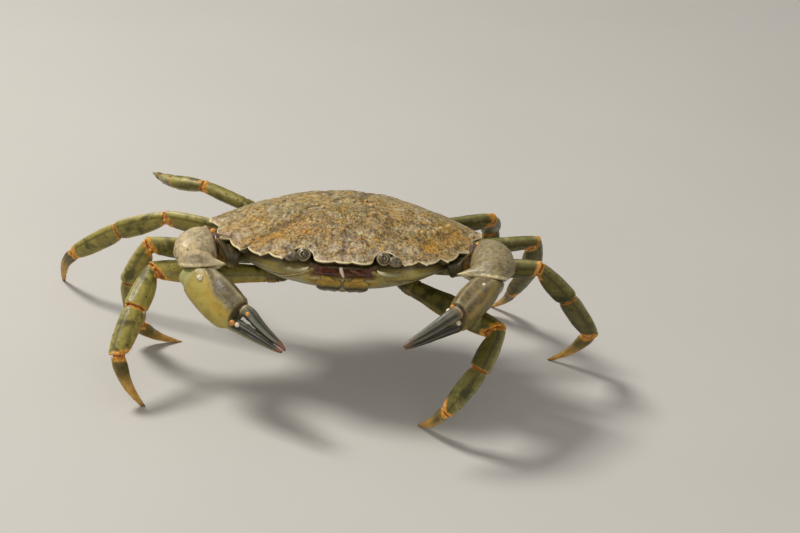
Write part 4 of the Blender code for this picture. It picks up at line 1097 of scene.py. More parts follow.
def bristles(roots, dirs, length, width, seed=0):
    """Short stiff hairs as three-sided spikes."""
    rng = np.random.default_rng(seed)
    V, T = [], []
    for i, (q, d) in enumerate(zip(roots, dirs)):
        d = unit(d + rng.normal(0, 0.18, 3))
        u = unit(np.cross(d, [0.3, 0.5, 0.8]))
        v = np.cross(d, u)
        l = length * (0.6 + 0.6 * rng.random())
        w = width
        base = len(V)
        for k in range(3):
            an = k * 2 * math.pi / 3
            V.append(q + w * (u * math.cos(an) + v * math.sin(an)) - d * 0.1)
        V.append(q + d * l)
        T += [(base, base + 1, base + 3), (base + 1, base + 2, base + 3), (base + 2, base, base + 3), (base, base + 2, base + 1)]
    return np.array(V), np.zeros((0, 4), int), np.array(T), {}


def at_end(profile, size, which):
    row = profile[0] if which == 0 else profile[-1]
    return row[1] * size, row[2] * size


def leg_detail(kind):
    def f(t, phi, V, ee):
        side = np.abs(np.mod(phi + math.pi, 2 * math.pi) - math.pi)      # 0 on the upper edge, pi below
        win = smoothstep(0.04, 0.16, t) * smoothstep(1.0, 0.86, t)
        d = 0.12 * np.exp(-(side / 0.26) ** 2) + 0.08 * np.exp(-((side - math.pi) / 0.3) ** 2)
        if kind == 'dactyl':
            d = d + 0.13 * np.cos(side * 5.0) * win * (1 - 0.6 * t)
        else:
            d = d - 0.15 * np.exp(-((side - 0.95) / 0.16) ** 2) * win - 0.10 * np.exp(-((side - 2.05) / 0.2) ** 2) * win
        return d + 0.06 * fbm(V, 1.8, 3, 7) + 0.03 * grains(V, 0.8, 41, 0.2, 0.5, 0.7)
    return f


# how strong and how wide (mm) the orange of a joint is, at the near and the far end of a piece
JOINT_COLOUR = {'merus': (0.0, 1.0, 0.85, 1.35), 'carpus': (0.8, 1.0, 0.5, 0.4), 'propodus': (0.45, 0.4, 0.9, 1.5), 'dactyl': (0.9, 1.2, 0.0, 1.0)}


def leg_attrs(V, tt, pp, ends, kind, size, seed=0):
    ea, eb = ends
    side = np.abs(np.mod(pp + math.pi, 2 * math.pi) - math.pi)
    ridge = 0.95 * np.exp(-(side / 0.28) ** 2)
    low = 0.9 * np.exp(-((side - math.pi) / 0.34) ** 2)
    shade = np.exp(-((side - 0.95) / 0.2) ** 2) + 0.7 * np.exp(-((side - 2.05) / 0.26) ** 2)
    a0, w0, a1, w1 = JOINT_COLOUR[kind]
    n = fbm(V, 1.6, 2, 91 + seed)
    orange = np.maximum(a0 * smoothstep(0.0, 0.7, 1.0 - ea / w0 + 1.3 * n), a1 * smoothstep(0.0, 0.7, 1.0 - eb / w1 + 1.3 * n))
    tip = smoothstep(0.86, 1.0, tt) if kind == 'dactyl' else np.zeros(len(tt))
    toe = smoothstep(0.22, 0.62, tt) * 0.9 if kind == 'dactyl' else np.zeros(len(tt))
    return {"ridge": np.clip(ridge, 0, 1), "low": low, "shade": np.clip(shade, 0, 1), "ends": orange, "tip": tip, "toe": toe}


def inside_trunk(q):
    b = untilt(q)
    lv = np.array(LEVELS)
    z = np.clip(b[2], lv[-1, 0], lv[0, 0])
    hw, fr, re = [np.interp(-z, -lv[:, 0], lv[:, k]) for k in (1, 2, 3)]
    cy, hl = (fr + re) / 2, (re - fr) / 2
    return b[2] > lv[-1, 0] and (abs(b[0]) / hw) ** 2.5 + (abs(b[1] - cy) / hl) ** 2.5 < 1


def trunk_exit(p):
    d = unit(p[1] - p[0])
    s = 0.0
    while inside_trunk(p[0] + d * s) and s < 20:
        s += 0.1
    return s


def flexor_notch(depth, centre, width=0.9):
    def f(phi):
        x = np.abs(np.mod(phi - centre + math.pi, 2 * math.pi) - math.pi)
        return 0.10 + depth * np.exp(-(x / width) ** 2)
    return f


skins, skins_d, knobs, knobs_o, hairs = [], [], [], [], []


def build_leg(name):
    # lighter colours on the key light's side as painted light, darker on the other as painted shade
    leg_mat = LEG_LIT_MAT if 'right' in name else LEG_SHADED_MAT
    p = joints(name)
    m = limb_frame(p)
    kind, side = name.split('_')
    size = LEG_SIZE[kind]
    seed = sum(map(ord, name))
    d = unit(p[1] - p[0])
    L0 = np.linalg.norm(p[1] - p[0])
    e = trunk_exit(p)
    prof = np.array(LEG_PROFILES['merus'])
    begin = max(e - 1.4, 0.0)
    rings = (e + 0.9, e + 3.6 * size)        # joints of the short pieces between body and merus
    pieces = (('merus', 0), ('carpus', 1), ('propodus', 2), ('dactyl', 3))
    for part, k in pieces:
        profile = PADDLE if (kind == 'leg5' and k == 3) else LEG_PROFILES[part]
        a, b = p[k], p[k + 1]
        if k == 0:
            # the same profile, from the body wall
            f = begin / L0
            a = p[0] + d * begin
            ts = np.linspace(0, 1, 12)
            src = f + (1 - f) * ts
            profile = [(float(tq), float(monotone(prof[:, 0], prof[:, 1], np.array([sq]))[0]), float(monotone(prof[:, 0], prof[:, 2], np.array([sq]))[0])) for tq, sq in zip(ts, src)]
            start = (a + d * 0.1, d)
        else:
            start = mitre(p, k, GAP / 2)
        end = mitre(p, k + 1, -GAP / 2) if k < 3 else (p[4], unit(p[4] - p[3]))
        grounded = k == 3 and p[4][2] == 0.0
        if grounded:
            end = (p[4], np.array([0, 0, 1.0]))

        # the bend opens on the inner side: that is where the skin shows
        def inner_angle(j):
            d0, d1 = unit(p[j] - p[j - 1]), unit(p[j + 1] - p[j])
            dd = unit(b - a)
            nn = unit(m - np.dot(m, dd) * dd)
            upv = np.cross(nn, dd)
            v = d1 - d0
            return math.atan2(float(np.dot(v, nn)), float(np.dot(v, upv)))
        n0 = flexor_notch((0.0, 0.75, 0.40, 0.35)[k] * size, inner_angle(k)) if k else None
        n1 = flexor_notch((0.9, 0.45, 0.45)[k] * size, inner_angle(k + 1)) if k < 3 else None
        detail = leg_detail(part)
        if k == 0:
            def detail(t, phi, V, ee, base=leg_detail(part)):
                at = begin + t * (L0 - begin)
                cutin = sum(np.exp(-((at - r - 0.25 * np.cos(phi)) / 0.22) ** 2) for r in rings)
                swell = 0.10 * smoothstep(rings[1] + 0.3, rings[1] - 0.3, at)
                return base(t, phi, V, ee) - 0.30 * cutin + swell
        V, Q, T, tt, pp, ends, fr = shell(a, b, m, profile, start, end, size, notch0=n0, notch1=n1, detail=detail, closed_tip=(k == 3),
                                          bow=DACTYL_BOW * np.linalg.norm(b - a) if k == 3 else 0.0, press=k == 0, lip=0.16 if k in (0, 2) else 0.08)
        if grounded:
            V[:, 2] = np.maximum(V[:, 2], 0.0)
        A = leg_attrs(V, tt, pp, ends, part, size, seed)
        if k == 0:
            at = begin + tt * (L0 - begin)
            cutin = sum(np.exp(-((at - r - 0.25 * np.cos(pp)) / 0.28) ** 2) for r in rings)
            # dark next to the body wall, painted shade under the carapace, and dark in the joint lines
            A["root"] = np.clip(0.75 * smoothstep(rings[0] + 1.0, rings[0] - 1.0, at) + 0.55 * cutin, 0, 0.9)
            A["ends"] = np.clip(A["ends"] + 0.45 * cutin * (at > rings[0] + 1.2) * smoothstep(-0.2, 0.4, fbm(V, 1.2, 2, 33)), 0, 1)
        ob = piece("%s_%s_shell" % (name, part), V, Q, T, leg_mat if k < 3 else M_TOE, A, ("%s_%s" % (name, part),))
        a_, dd, upv, nn, LL = fr
        if k < 3:
            nxt = PADDLE if (kind == 'leg5' and k == 2) else LEG_PROFILES[pieces[k + 1][0]]
            r0 = np.array(at_end(profile, size, 1)) * 0.86
            r1 = np.array(at_end(nxt, size, 0)) * 0.90
            skins.append(skin_tube(p, k + 1, r0, r1, m, 1.9 * size, 1.9 * size))
            for s in (-1, 1):
                if k in (0, 2):
                    q = p[k + 1] + nn * s * at_end(profile, size, 1)[1] * 0.93
                else:
                    q = p[k + 1] + upv * s * at_end(profile, size, 1)[0] * 0.9
                (knobs_o if (k != 1 or s > 0) else knobs).append(ball_mesh(q, 0.40 * size))
        # short hairs along the edges of the last two pieces
        if k >= 2:
            rng = np.random.default_rng(seed + k)
            edge = (0.0, math.pi)
            count = int(LL * (5 if kind != 'leg5' else 9))
            prof2 = np.array(profile)
            bow = DACTYL_BOW * LL if k == 3 else 0.0
            roots, dirs = [], []
            for _ in range(count):
                tq = rng.uniform(0.08, 0.92)
                an = edge[rng.integers(0, 2)] + rng.normal(0, 0.16)
                h1 = float(monotone(prof2[:, 0], prof2[:, 1], np.array([tq]))[0]) * size
                h2 = float(monotone(prof2[:, 0], prof2[:, 2], np.array([tq]))[0]) * size
                q = a + dd * LL * tq + upv * (h1 * math.cos(an) + bow * math.sin(math.pi * tq)) + nn * h2 * math.sin(an)
                roots.append(q)
                dirs.append(unit(upv * math.cos(an) + nn * math.sin(an) * 0.5 + dd * 0.9))
            hairs.append(bristles(roots, dirs, 0.45 if kind != 'leg5' else 0.9, 0.03, seed=k))


for name in POSE:
    if name.startswith('leg'):
        build_leg(name)


# ------------------------------------------------------------------ claws
def nearest_on(V, px, py):
    """Point of a shell that lies on the picture's point, on the side towards the camera."""
    uv = pixels(V)
    dist = np.hypot(uv[:, 0] - px, uv[:, 1] - py)
    near = dist < max(2.5, dist.min() + 0.6)
    k = np.where(near)[0]
    return V[k[np.argmin(uv[k, 2])]]


def build_claw(name):
    p = joints(name)
    m = limb_frame(p)
    side = name.split('_')[1]
    left = side == 'left'
    sgn = 1 if left else -1
    d = unit(p[1] - p[0])
    L0 = np.linalg.norm(p[1] - p[0])
    e = trunk_exit(p)
    prof = np.array(CLAW_MERUS)
    begin = max(e - 1.4, 0.0)
    rings = (e + 0.7, e + 3.0)
    # merus
    a = p[0] + d * begin
    f = begin / L0
    ts = np.linspace(0, 1, 12)
    profile = [(float(tq), *[float(monotone(prof[:, 0], prof[:, k], np.array([f + (1 - f) * tq]))[0]) for k in (1, 2)]) for tq in ts]

    def merus_detail(t, phi, V, ee):
        side_ = np.abs(np.mod(phi + math.pi, 2 * math.pi) - math.pi)
        at = begin + t * (L0 - begin)
        cutin = sum(np.exp(-((at - r - 0.3 * np.cos(phi)) / 0.24) ** 2) for r in rings)
        return -0.14 * cutin + 0.12 * np.exp(-(side_ / 0.4) ** 2) + 0.10 * np.exp(-((side_ - 1.7) / 0.2) ** 2) + 0.06 * fbm(V, 1.8, 3, 7) + 0.05 * grains(V, 0.9, 61, 0.2, 0.5, 0.7)
    V, Q, T, tt, pp, ends, fr = shell(a, p[1], m, profile, (a + d * 0.1, d), mitre(p, 1, -GAP / 2), 1.0, ns=84, detail=merus_detail, notch1=flexor_notch(0.6, math.pi), press=True)
    V_merus = V
    side_ = np.abs(np.mod(pp + math.pi, 2 * math.pi) - math.pi)
    nz = fbm(V, 1.5, 2, 93)
    off = V - (a + (p[1] - a) * np.clip(tt, 0, 1)[:, None])
    over = off[:, 2] / np.maximum(np.linalg.norm(off, axis=1), 1e-6)
    # the upper side and the near end of the merus are darkened as painted shadow of the carapace; the joint lines are
    # dark too
    A = {"ends": 0.5 * smoothstep(0.0, 0.5, 1.0 - ends[1] / 0.7 + 0.8 * nz), "upper": smoothstep(1.4, 0.7, side_) * 0.5,
         "rim": 0.75 * np.exp(-(np.clip(ends[1], 0, 9) / 0.28) ** 2) * smoothstep(1.9, 1.2, side_), "speck": np.full(len(tt), 0.4),
         "root": np.clip(0.94 * smoothstep(-0.75, -0.25, over + 0.25 * nz) * smoothstep(1.0, 0.93, tt) + 0.5 * sum(np.exp(-((begin + tt * (L0 - begin) - r) / 0.25) ** 2) for r in rings) + 0.6 * smoothstep(0.3, 0.1, tt), 0, 0.92),
         "dome": np.zeros(len(tt))}
    piece("%s_merus_shell" % name, V, Q, T, M_CLAW, A, ("%s_merus" % name,))
    skins_d.append(skin_tube(p, 1, np.array(at_end(profile, 1, 1)) * 0.85, np.array(at_end(CLAW_CARPUS, 1, 0)) * 0.88, m, 2.0, 2.2))
    # carpus, with the spine at its inner corner and a toothed far edge
    inner = unit(np.array(SPINE[side]))
    wn = unit(np.array(WRIST[side][1]))
    d1_ = unit(p[2] - p[1])
    face = np.array([0.0, -0.80, 0.60])
    face = unit(face - np.dot(face, d1_) * d1_)

    def spine(t, phi, radial):
        w = np.clip(radial @ inner, 0, 1)
        amt = 2.4 * w ** 6 * np.exp(-((t - 0.86) / 0.16) ** 2)
        peak = 1.2 * w ** 34 * np.exp(-((t - 0.92) / 0.06) ** 2)
        bulge = CARPUS_BULGE * np.sin(math.pi * np.clip(t, 0, 1) ** 0.8)
        wf = np.clip(radial @ face, 0, 1) ** 1.2
        late = smoothstep(0.72, 1.0, t)
        hood = (late * wf)[:, None] * (wn * 0.95 + face * 0.55)
        return inner * (amt + peak)[:, None] + np.array([sgn, 0, 0]) * (bulge * np.ones(len(w)))[:, None] + hood

    def carpus_detail(t, phi, V, ee):
        g = grains(V, 0.75, 71, 0.2, 0.46, 0.8)
        far = np.exp(-(ee / 0.35) ** 2) * (t > 0.5)
        teeth = np.clip(np.sin(phi * 19 + 2 * np.sin(phi * 3)), 0, 1)
        dent = np.exp(-((np.mod(phi + math.pi, 2 * math.pi) - math.pi) / 0.5) ** 2) * np.exp(-((t - 0.45) / 0.2) ** 2)
        return 0.10 * g + 0.14 * fbm(V, 2.6, 3, 17) + far * (0.10 + 0.30 * teeth) - 0.15 * dent
    V, Q, T, tt, pp, ends, fr = shell(p[1], p[2], m, CLAW_CARPUS, mitre(p, 1, GAP / 2), wrist(p, side, -GAP / 2 - CARPUS_SHORT), 1.0, ns=150, length_step=0.16,
                                      detail=carpus_detail, bump=spine, notch0=flexor_notch(0.4, math.pi), recess=0.8, lip=0.05)
    V_carpus = V
    a_, dd, upv, nn, LL = fr
    radial = unit(np.cos(pp)[:, None] * upv + np.sin(pp)[:, None] * nn)
    sp = np.clip(radial @ inner, 0, 1) ** 14 * np.exp(-((tt - 0.92) / 0.08) ** 2)
    teeth = np.clip(np.sin(pp * 19 + 2 * np.sin(pp * 3)), 0, 1)
    g = grains(V, 0.75, 71, 0.2, 0.46, 0.8)
    far = ends[1]
    # the left carpus is darkened all over: painted shade
    A = {"upper": np.full(len(V), 0.9), "rim": np.clip(np.exp(-((far - 0.24) / 0.27) ** 2) * (0.6 + 0.35 * teeth) + 0.9 * sp, 0, 0.95), "dusk": np.full(len(V), 0.72 if left else 0.0), "grain": 0.4 * g,
         "speck": np.full(len(V), 0.85), "dome": np.ones(len(V)), "gold": 0.75 * np.exp(-((tt - 0.45) / 0.22) ** 2) * smoothstep(-0.1, 0.5, fbm(V, 3.0, 2, 95)),
         "ends": 0.6 * smoothstep(0.5, 0.0, ends[0]), "groove": 0.8 * (far < 0.0)}
    piece("%s_carpus_shell" % name, V, Q, T, M_CLAW, A, ("%s_carpus" % name,))
    # palm and fingers
    line = np.array([p[2], p[3], p[4]])
    q = unit(p[4] - p[2])
    view = np.array([0, 0.917, -0.40])
    axis = np.cross(q, view)
    axis = unit(axis if axis[2] > 0 else -axis)
    roll = math.radians(58.0 if left else 6.0)
    facing = np.cross(q, axis)
    if facing[1] > 0:
        facing = -facing
    axis = unit(axis * math.cos(roll) + facing * math.sin(roll))
    l0 = np.linalg.norm(line[1] - line[0])
    d0, d1 = unit(line[1] - line[0]), unit(line[2] - line[1])
    m0 = wrist(p, side, GAP / 2)
    bulk = PALM_BULK[side]

    def along(rows, ns, s_list, extra):
        R = np.array(rows)
        phi = np.arange(ns) / ns * 2 * math.pi
        cc, ss = np.cos(phi), np.sin(phi)
        cu, sv = np.sign(cc) * np.abs(cc) ** 0.9, np.sign(ss) * np.abs(ss) ** 0.9
        out, S, P, N = [], [], [], []
        for s in s_list:
            hh, ht, rise = [monotone(R[:, 0], R[:, k], np.array([s]))[0] for k in (1, 2, 3)]
            w = 1 / (1 + math.exp(-(s - l0) / 2.0))
            dd = unit(d0 * (1 - w) + d1 * w)
            c = line[0] + d0 * min(s, l0) + d1 * max(0.0, s - l0)
            upv = unit(axis - np.dot(axis, dd) * dd)
            nn = np.cross(dd, upv)
            pt = c + upv * (rise + hh * 1.02 * cu)[:, None] + nn * (ht * 1.02 * sv)[:, None]
            rad = unit(upv * cc[:, None] / max(hh, 0.2) + nn * ss[:, None] / max(ht, 0.2))
            pt = pt + rad * extra(s, phi, pt)[:, None]
            short = (m0[0] - pt) @ m0[1] + (0.0 if s < 1.0 else 0.12 * s)
            mv = np.clip(short, -0.9 - 0.5 * s, None) if s < 0.9 else np.clip(short, 0, None)
            pt = pt + dd * (mv / np.dot(dd, m0[1]))[:, None]
            out.append(pt)
            S.append(np.full(ns, s))
            P.append(phi)
            N.append(rad)
        return np.vstack(out), np.concatenate(S), np.concatenate(P), np.vstack(N)

    tooth_at = lambda s: 0.16 * np.clip(np.sin((s - 17.2) * 2.9), 0, 1) * smoothstep(17.0, 18.0, s) * smoothstep(29.5, 28.0, s)
    def crease_at(s):
        """Where the outer face meets the upper one, going along the palm."""
        return (0.70 + 0.85 * smoothstep(1.0, 12.0, s)) if not left else (0.62 + 0.35 * smoothstep(2.0, 13.0, s))


    def palm_extra(s, phi, pt):
        a_ = np.mod(phi + math.pi, 2 * math.pi) - math.pi      # 0 on the upper edge
        g = grains(pt, 0.8, 81, 0.2, 0.46, 0.7)
        v = 0.05 * fbm(pt, 2.0, 3, 19) + 0.05 * g * smoothstep(1.7, 1.3, np.abs(a_))
        crease = crease_at(s)
        if s < 16.0:
            w = smoothstep(1.2, 3.5, s) * smoothstep(15.8, 14.0, s)
            v = v + w * (0.20 * np.exp(-((np.abs(a_) - 0.4) / 0.16) ** 2) - 0.12 * np.exp(-(a_ / 0.2) ** 2))
            v = v + w * 0.20 * np.exp(-((np.abs(a_) - crease) / 0.13) ** 2)
            v = v - w * 0.14 * np.exp(-((np.abs(a_) - crease + 0.35) / 0.2) ** 2)
            v = v + w * 0.08 * np.exp(-((np.abs(a_) - 0.4) / 0.12) ** 2) * (0.5 + 0.5 * math.sin(s * 7.5))
        else:
            k = smoothstep(16.2, 17.5, s) * smoothstep(30.5, 27.0, s)
            for ac in (0.9, 1.75):
                v = v - 0.22 * k * np.exp(-((np.abs(a_) - ac) / 0.2) ** 2)
            v = v + tooth_at(s) * np.exp(-(a_ / 0.5) ** 2)
        return v
    s_list = np.concatenate([np.linspace(0.25, 15.4, 76), np.linspace(15.5, 16.3, 9), np.linspace(16.6, 30.6, 66)])
    ns = 108
    rows = [(s, hh + 0.6 * bulk, ht, rise - bulk) if 1.0 < s < 15.0 else (s, hh, ht, rise + (0.3 if 19 < s < 28 else 0.0)) for s, hh, ht, rise in PALM]
    V, S, P, N = along(rows, ns, s_list, palm_extra)
    ring0 = V[:ns]
    cen = ring0.mean(axis=0)
    pre = np.vstack([cen + (ring0 - cen) * 0.72 + d0 * 0.9, cen + (ring0 - cen) * 0.93 + d0 * 0.03])
    V = np.vstack([pre, V])
    S, P = np.concatenate([np.zeros(2 * ns), S]), np.concatenate([P[:2 * ns], P])
    V, Q, T = with_caps(V, len(s_list) + 2, ns)
    V_palm = V
    aa = np.abs(np.mod(P + math.pi, 2 * math.pi) - math.pi)
    body = smoothstep(16.4, 15.2, S)
    fing = smoothstep(15.8, 18.0, S)
    VV = V[:len(S)]
    nz = fbm(VV, 2.5, 3, 97)
    crease = crease_at(S)
    edge_at = crease + 0.34 * nz
    upper = smoothstep(edge_at + 0.22, edge_at - 0.16, aa)
    near = np.clip(S, 0, 99)
    A = {"upper": 0.95 * upper * body, "speck": 0.75 * upper * body, "finger": fing * smoothstep(0.9, 0.5, np.abs(aa - 1.3) / 1.6),
         "groove": np.clip(np.exp(-((aa - 0.9) / 0.42) ** 2) + np.exp(-((aa - 1.75) / 0.34) ** 2), 0, 1) * smoothstep(16.0, 17.2, S) * smoothstep(31.0, 28.0, S) + 0.9 * smoothstep(15.3, 16.0, S) * smoothstep(17.4, 16.4, S) * smoothstep(1.9, 1.4, aa),
         "pale": np.clip(0.8 * np.exp(-((aa - 2.45) / 0.2) ** 2) * smoothstep(16.0, 18.0, S) + 0.45 * np.exp(-((aa - 1.32) / 0.1) ** 2) * smoothstep(17.0, 19.0, S), 0, 1),
         "gold": np.clip(0.7 * np.exp(-((aa - crease - 0.22) / 0.2) ** 2) * body * smoothstep(2.0, 6.0, S) + (0.6 * smoothstep(0.0, 0.5, nz) * body if left else 0.0), 0, 1),
         # the left palm darkened on its outer faces and a little all over, the right palm along its lower edge: painted
         # shade
         # the palm's lower faces near the wrist are paled: a painted sheen
         "wrist_sheen": 0.8 * smoothstep(3.4, 0.8, near) * smoothstep(1.0, 1.6, aa), "dusk": body * (0.85 * smoothstep(edge_at, edge_at + 0.5, aa) * smoothstep(-0.7, 0.1, nz) if left else 0.10 * smoothstep(2.6, 3.0, aa)) + (0.30 * body if left else 0.0),
         "grain": 0.45 * np.exp(-((aa - 0.4) / 0.14) ** 2) * body, "tip": smoothstep(28.2, 30.4, S) * (1.0 if not left else 0.4),
         "ends": 0.75 * smoothstep(0.0, 0.5, 0.9 - near / 0.7 + 0.8 * nz) * smoothstep(0.8, 1.5, aa)}
    piece("%s_palm_shell" % name, V, Q, T, M_CLAW, A, ("%s_palm" % name,))

    def finger_extra(s, phi, pt):
        a_ = np.mod(phi + math.pi, 2 * math.pi) - math.pi
        v = 0.04 * fbm(pt, 1.6, 3, 23)
        k = smoothstep(17.0, 18.3, s) * smoothstep(30.6, 27.0, s)
        for ac in (1.0, 2.55):
            v = v - 0.20 * k * np.exp(-((np.abs(a_) - ac) / 0.2) ** 2)
        return v + 0.8 * tooth_at(s + 1.2) * np.exp(-((np.abs(a_) - math.pi) / 0.5) ** 2)
    s_list = np.linspace(16.6, 31.0, 80)
    ns = 80
    rows = [(s, hh, ht, rise - (0.35 if 20 < s < 28 else 0.0)) for s, hh, ht, rise in FINGER]
    V, S, P, N = along(rows, ns, s_list, finger_extra)
    V, Q, T = with_caps(V, len(s_list), ns)
    V_finger = V
    aa = np.abs(np.mod(P + math.pi, 2 * math.pi) - math.pi)
    on = smoothstep(17.0, 18.6, S)
    A = {"finger": 0.95 * smoothstep(16.4, 18.4, S), "groove": np.clip(np.exp(-((aa - 1.0) / 0.26) ** 2) + np.exp(-((aa - 2.65) / 0.4) ** 2), 0, 1) * on * smoothstep(31.0, 28.5, S),
         "pale": np.clip(0.75 * np.exp(-((aa - 1.8) / 0.34) ** 2) + 0.4 * np.exp(-((aa - 0.35) / 0.2) ** 2), 0, 1) * on * smoothstep(30.5, 27.5, S),
         "upper": np.full(len(S), 0.8), "tip": smoothstep(27.6, 30.4, S) * (1.0 if not left else 0.45), "speck": np.full(len(S), 0.4),
         "rim": 0.5 * np.exp(-((S - 16.6) / 0.3) ** 2)}
    piece("%s_finger_shell" % name, V, Q, T, M_CLAW, A, ("%s_finger" % name,))
    # joint balls and the skin round the wrist
    skins_d.append(skin_tube(p, 2, np.array(at_end(CLAW_CARPUS, 1, 1)) * 0.80, np.array([2.6, 2.4]) * 0.9, m, 2.2, 2.2))
    w = unit(d0 * 0.5 + d1 * 0.5)
    c = line[0] + d0 * 15.9
    up2 = unit(axis - np.dot(axis, w) * w)
    nn2 = np.cross(w, up2)
    skins_d.append(ball_mesh(c + up2 * 1.9, 1.5))
    if left:
        marks = ((V_merus, 475.9, 243.3, 0.8, 1), (V_palm, 484.5, 282.6, 0.45, 0), (V_palm, 446.5, 311.5, 0.65, 0),
                 (V_palm, 452.0, 313.0, 0.6, 1), (V_palm, 461.0, 322.6, 0.62, 0), (V_palm, 459.0, 320.0, 0.45, 1))
    else:
        marks = ((V_merus, 213.6, 230.3, 0.95, 1), (V_palm, 198.3, 276.0, 0.74, 0), (V_palm, 249.6, 308.5, 0.7, 1), (V_palm, 230.0, 323.6, 0.7, 1),
                 (V_palm, 236.5, 322.6, 0.6, 0), (V_finger, 245.5, 313.0, 0.5, 1))
    for carrier, px, py, r, orange in marks:
        (knobs_o if orange else knobs).append(ball_mesh(nearest_on(carrier, px, py), r))
    # hinge on the far side
    (knobs_o).append(ball_mesh(c + up2 * 1.9 - nn2 * np.sign(np.dot(nn2, LOOK)) * -1.7, 0.6))
    knobs.append(ball_mesh(p[1] - unit(np.cross(m, unit(p[1] - p[0]))) * 2.6, 0.8))


for name in POSE:
    if name.startswith('claw'):
        build_claw(name)


# ------------------------------------------------------------------ eyes, feelers, mouth, abdomen
def rod(points, radii, ns=20, per=8, rings=0):
    P = np.array(points, float)
    s = np.arange(len(P))
    t = np.linspace(0, len(P) - 1, per * (len(P) - 1) + 1)
    pts = np.stack([monotone(s, P[:, k], t) for k in range(3)], axis=1)
    rad = monotone(s, np.array(radii), t)
    phi = np.arange(ns) / ns * 2 * math.pi
    rows, band = [], []
    ref = np.array([0.2, 0.1, 1.0])
    for i in range(len(pts)):
        d = unit(pts[min(i + 1, len(pts) - 1)] - pts[max(i - 1, 0)])
        u = unit(np.cross(d, ref))
        v = np.cross(d, u)
        k = 1.0
        b = 0.0
        if rings:
            ph = math.cos(i / (len(pts) - 1) * rings * 2 * math.pi)
            k = 1 + 0.07 * ph
            b = max(0.0, -ph)
        rows.append(pts[i] + rad[i] * k * (u * np.cos(phi)[:, None] + v * np.sin(phi)[:, None]))
        band.append(np.full(ns, b))
    V, Q, T = with_caps(np.vstack(rows), len(pts), ns)
    return V, Q, T, {"band": np.concatenate(band)}


def leg_roots(side, material):
    """Short round pieces by which the walking legs of one side go into the body wall."""
    parts = []
    for name in POSE:
        if name.startswith('claw') or not name.endswith(side):
            continue
        p = joints(name)
        L0 = np.linalg.norm(p[1] - p[0])
        d = unit(p[1] - p[0])
        begin = max(trunk_exit(p) - 1.4, 0.0)
        a = p[0] + d * begin
        prof = np.array(LEG_PROFILES['merus'])
        r0 = sum(float(monotone(prof[:, 0], prof[:, k], np.array([begin / L0]))[0]) for k in (1, 2)) / 2
        up = np.array([0, 0, 1.0])
        V, Q, T, A = rod([a + d * 0.5, a - d * 0.4 + up * 0.1, a - d * 1.3 + up * 0.8, a - d * 2.1 + up * 1.8], (r0 * 0.8, r0 * 1.0, r0 * 0.95, r0 * 0.45), ns=40, per=8)
        V = V + 0.06 * fbm(V, 1.2, 2, 35)[:, None]
        # the stubs are darkened: painted shade under the carapace
        parts.append((V, Q, T, {"root": np.full(len(V), 0.45)}))
    V, Q, T, A = joined(parts)
    piece("leg_roots_%s" % side, V, Q, T, material, A)


leg_roots('left', LEG_SHADED_MAT)
leg_roots('right', LEG_LIT_MAT)


def plate(path, halves, thick, x_mid=0.0, out=GAP, camber=0.0, cross=25, per=7, detail=None):
    P = np.array(path, float)
    s = np.arange(len(P))
    t = np.linspace(0, len(P) - 1, per * (len(P) - 1) + 1)
    pts = np.stack([monotone(s, P[:, k], t) for k in range(2)], axis=1)
    hw = monotone(s, np.array(halves), t)
    rows, S, X = [], [], []
    for i in range(len(pts)):
        d = unit(pts[min(i + 1, len(pts) - 1)] - pts[max(i - 1, 0)])
        nrm = np.array([d[1], -d[0]])
        u = np.linspace(-1, 1, cross)
        top = thick * (1 - 0.75 * np.abs(u) ** 6)
        if i in (0, len(pts) - 1):
            top = top * 0.35
        if detail is not None:
            top = top + detail(t[i], u)
        lo = pts[i][None] + nrm[None] * out
        lo = np.repeat(lo, cross, axis=0)
        hi = pts[i][None] + nrm[None] * (out + top)[:, None]
        x = x_mid + hw[i] * u
        rows.append(np.vstack([np.column_stack([x, lo]), np.column_stack([x, hi])[::-1]]))
        S.append(np.full(2 * cross, t[i]))
        X.append(np.concatenate([u, u[::-1]]))
    V, Q, T = with_caps(np.vstack(rows), len(pts), 2 * cross)
    return V, Q, T, np.concatenate(S), np.concatenate(X)


def under_front(z):
    rows = np.array([(-r[0], r[2]) for r in LEVELS])
    return float(np.interp(-z, rows[:, 0], rows[:, 1]))


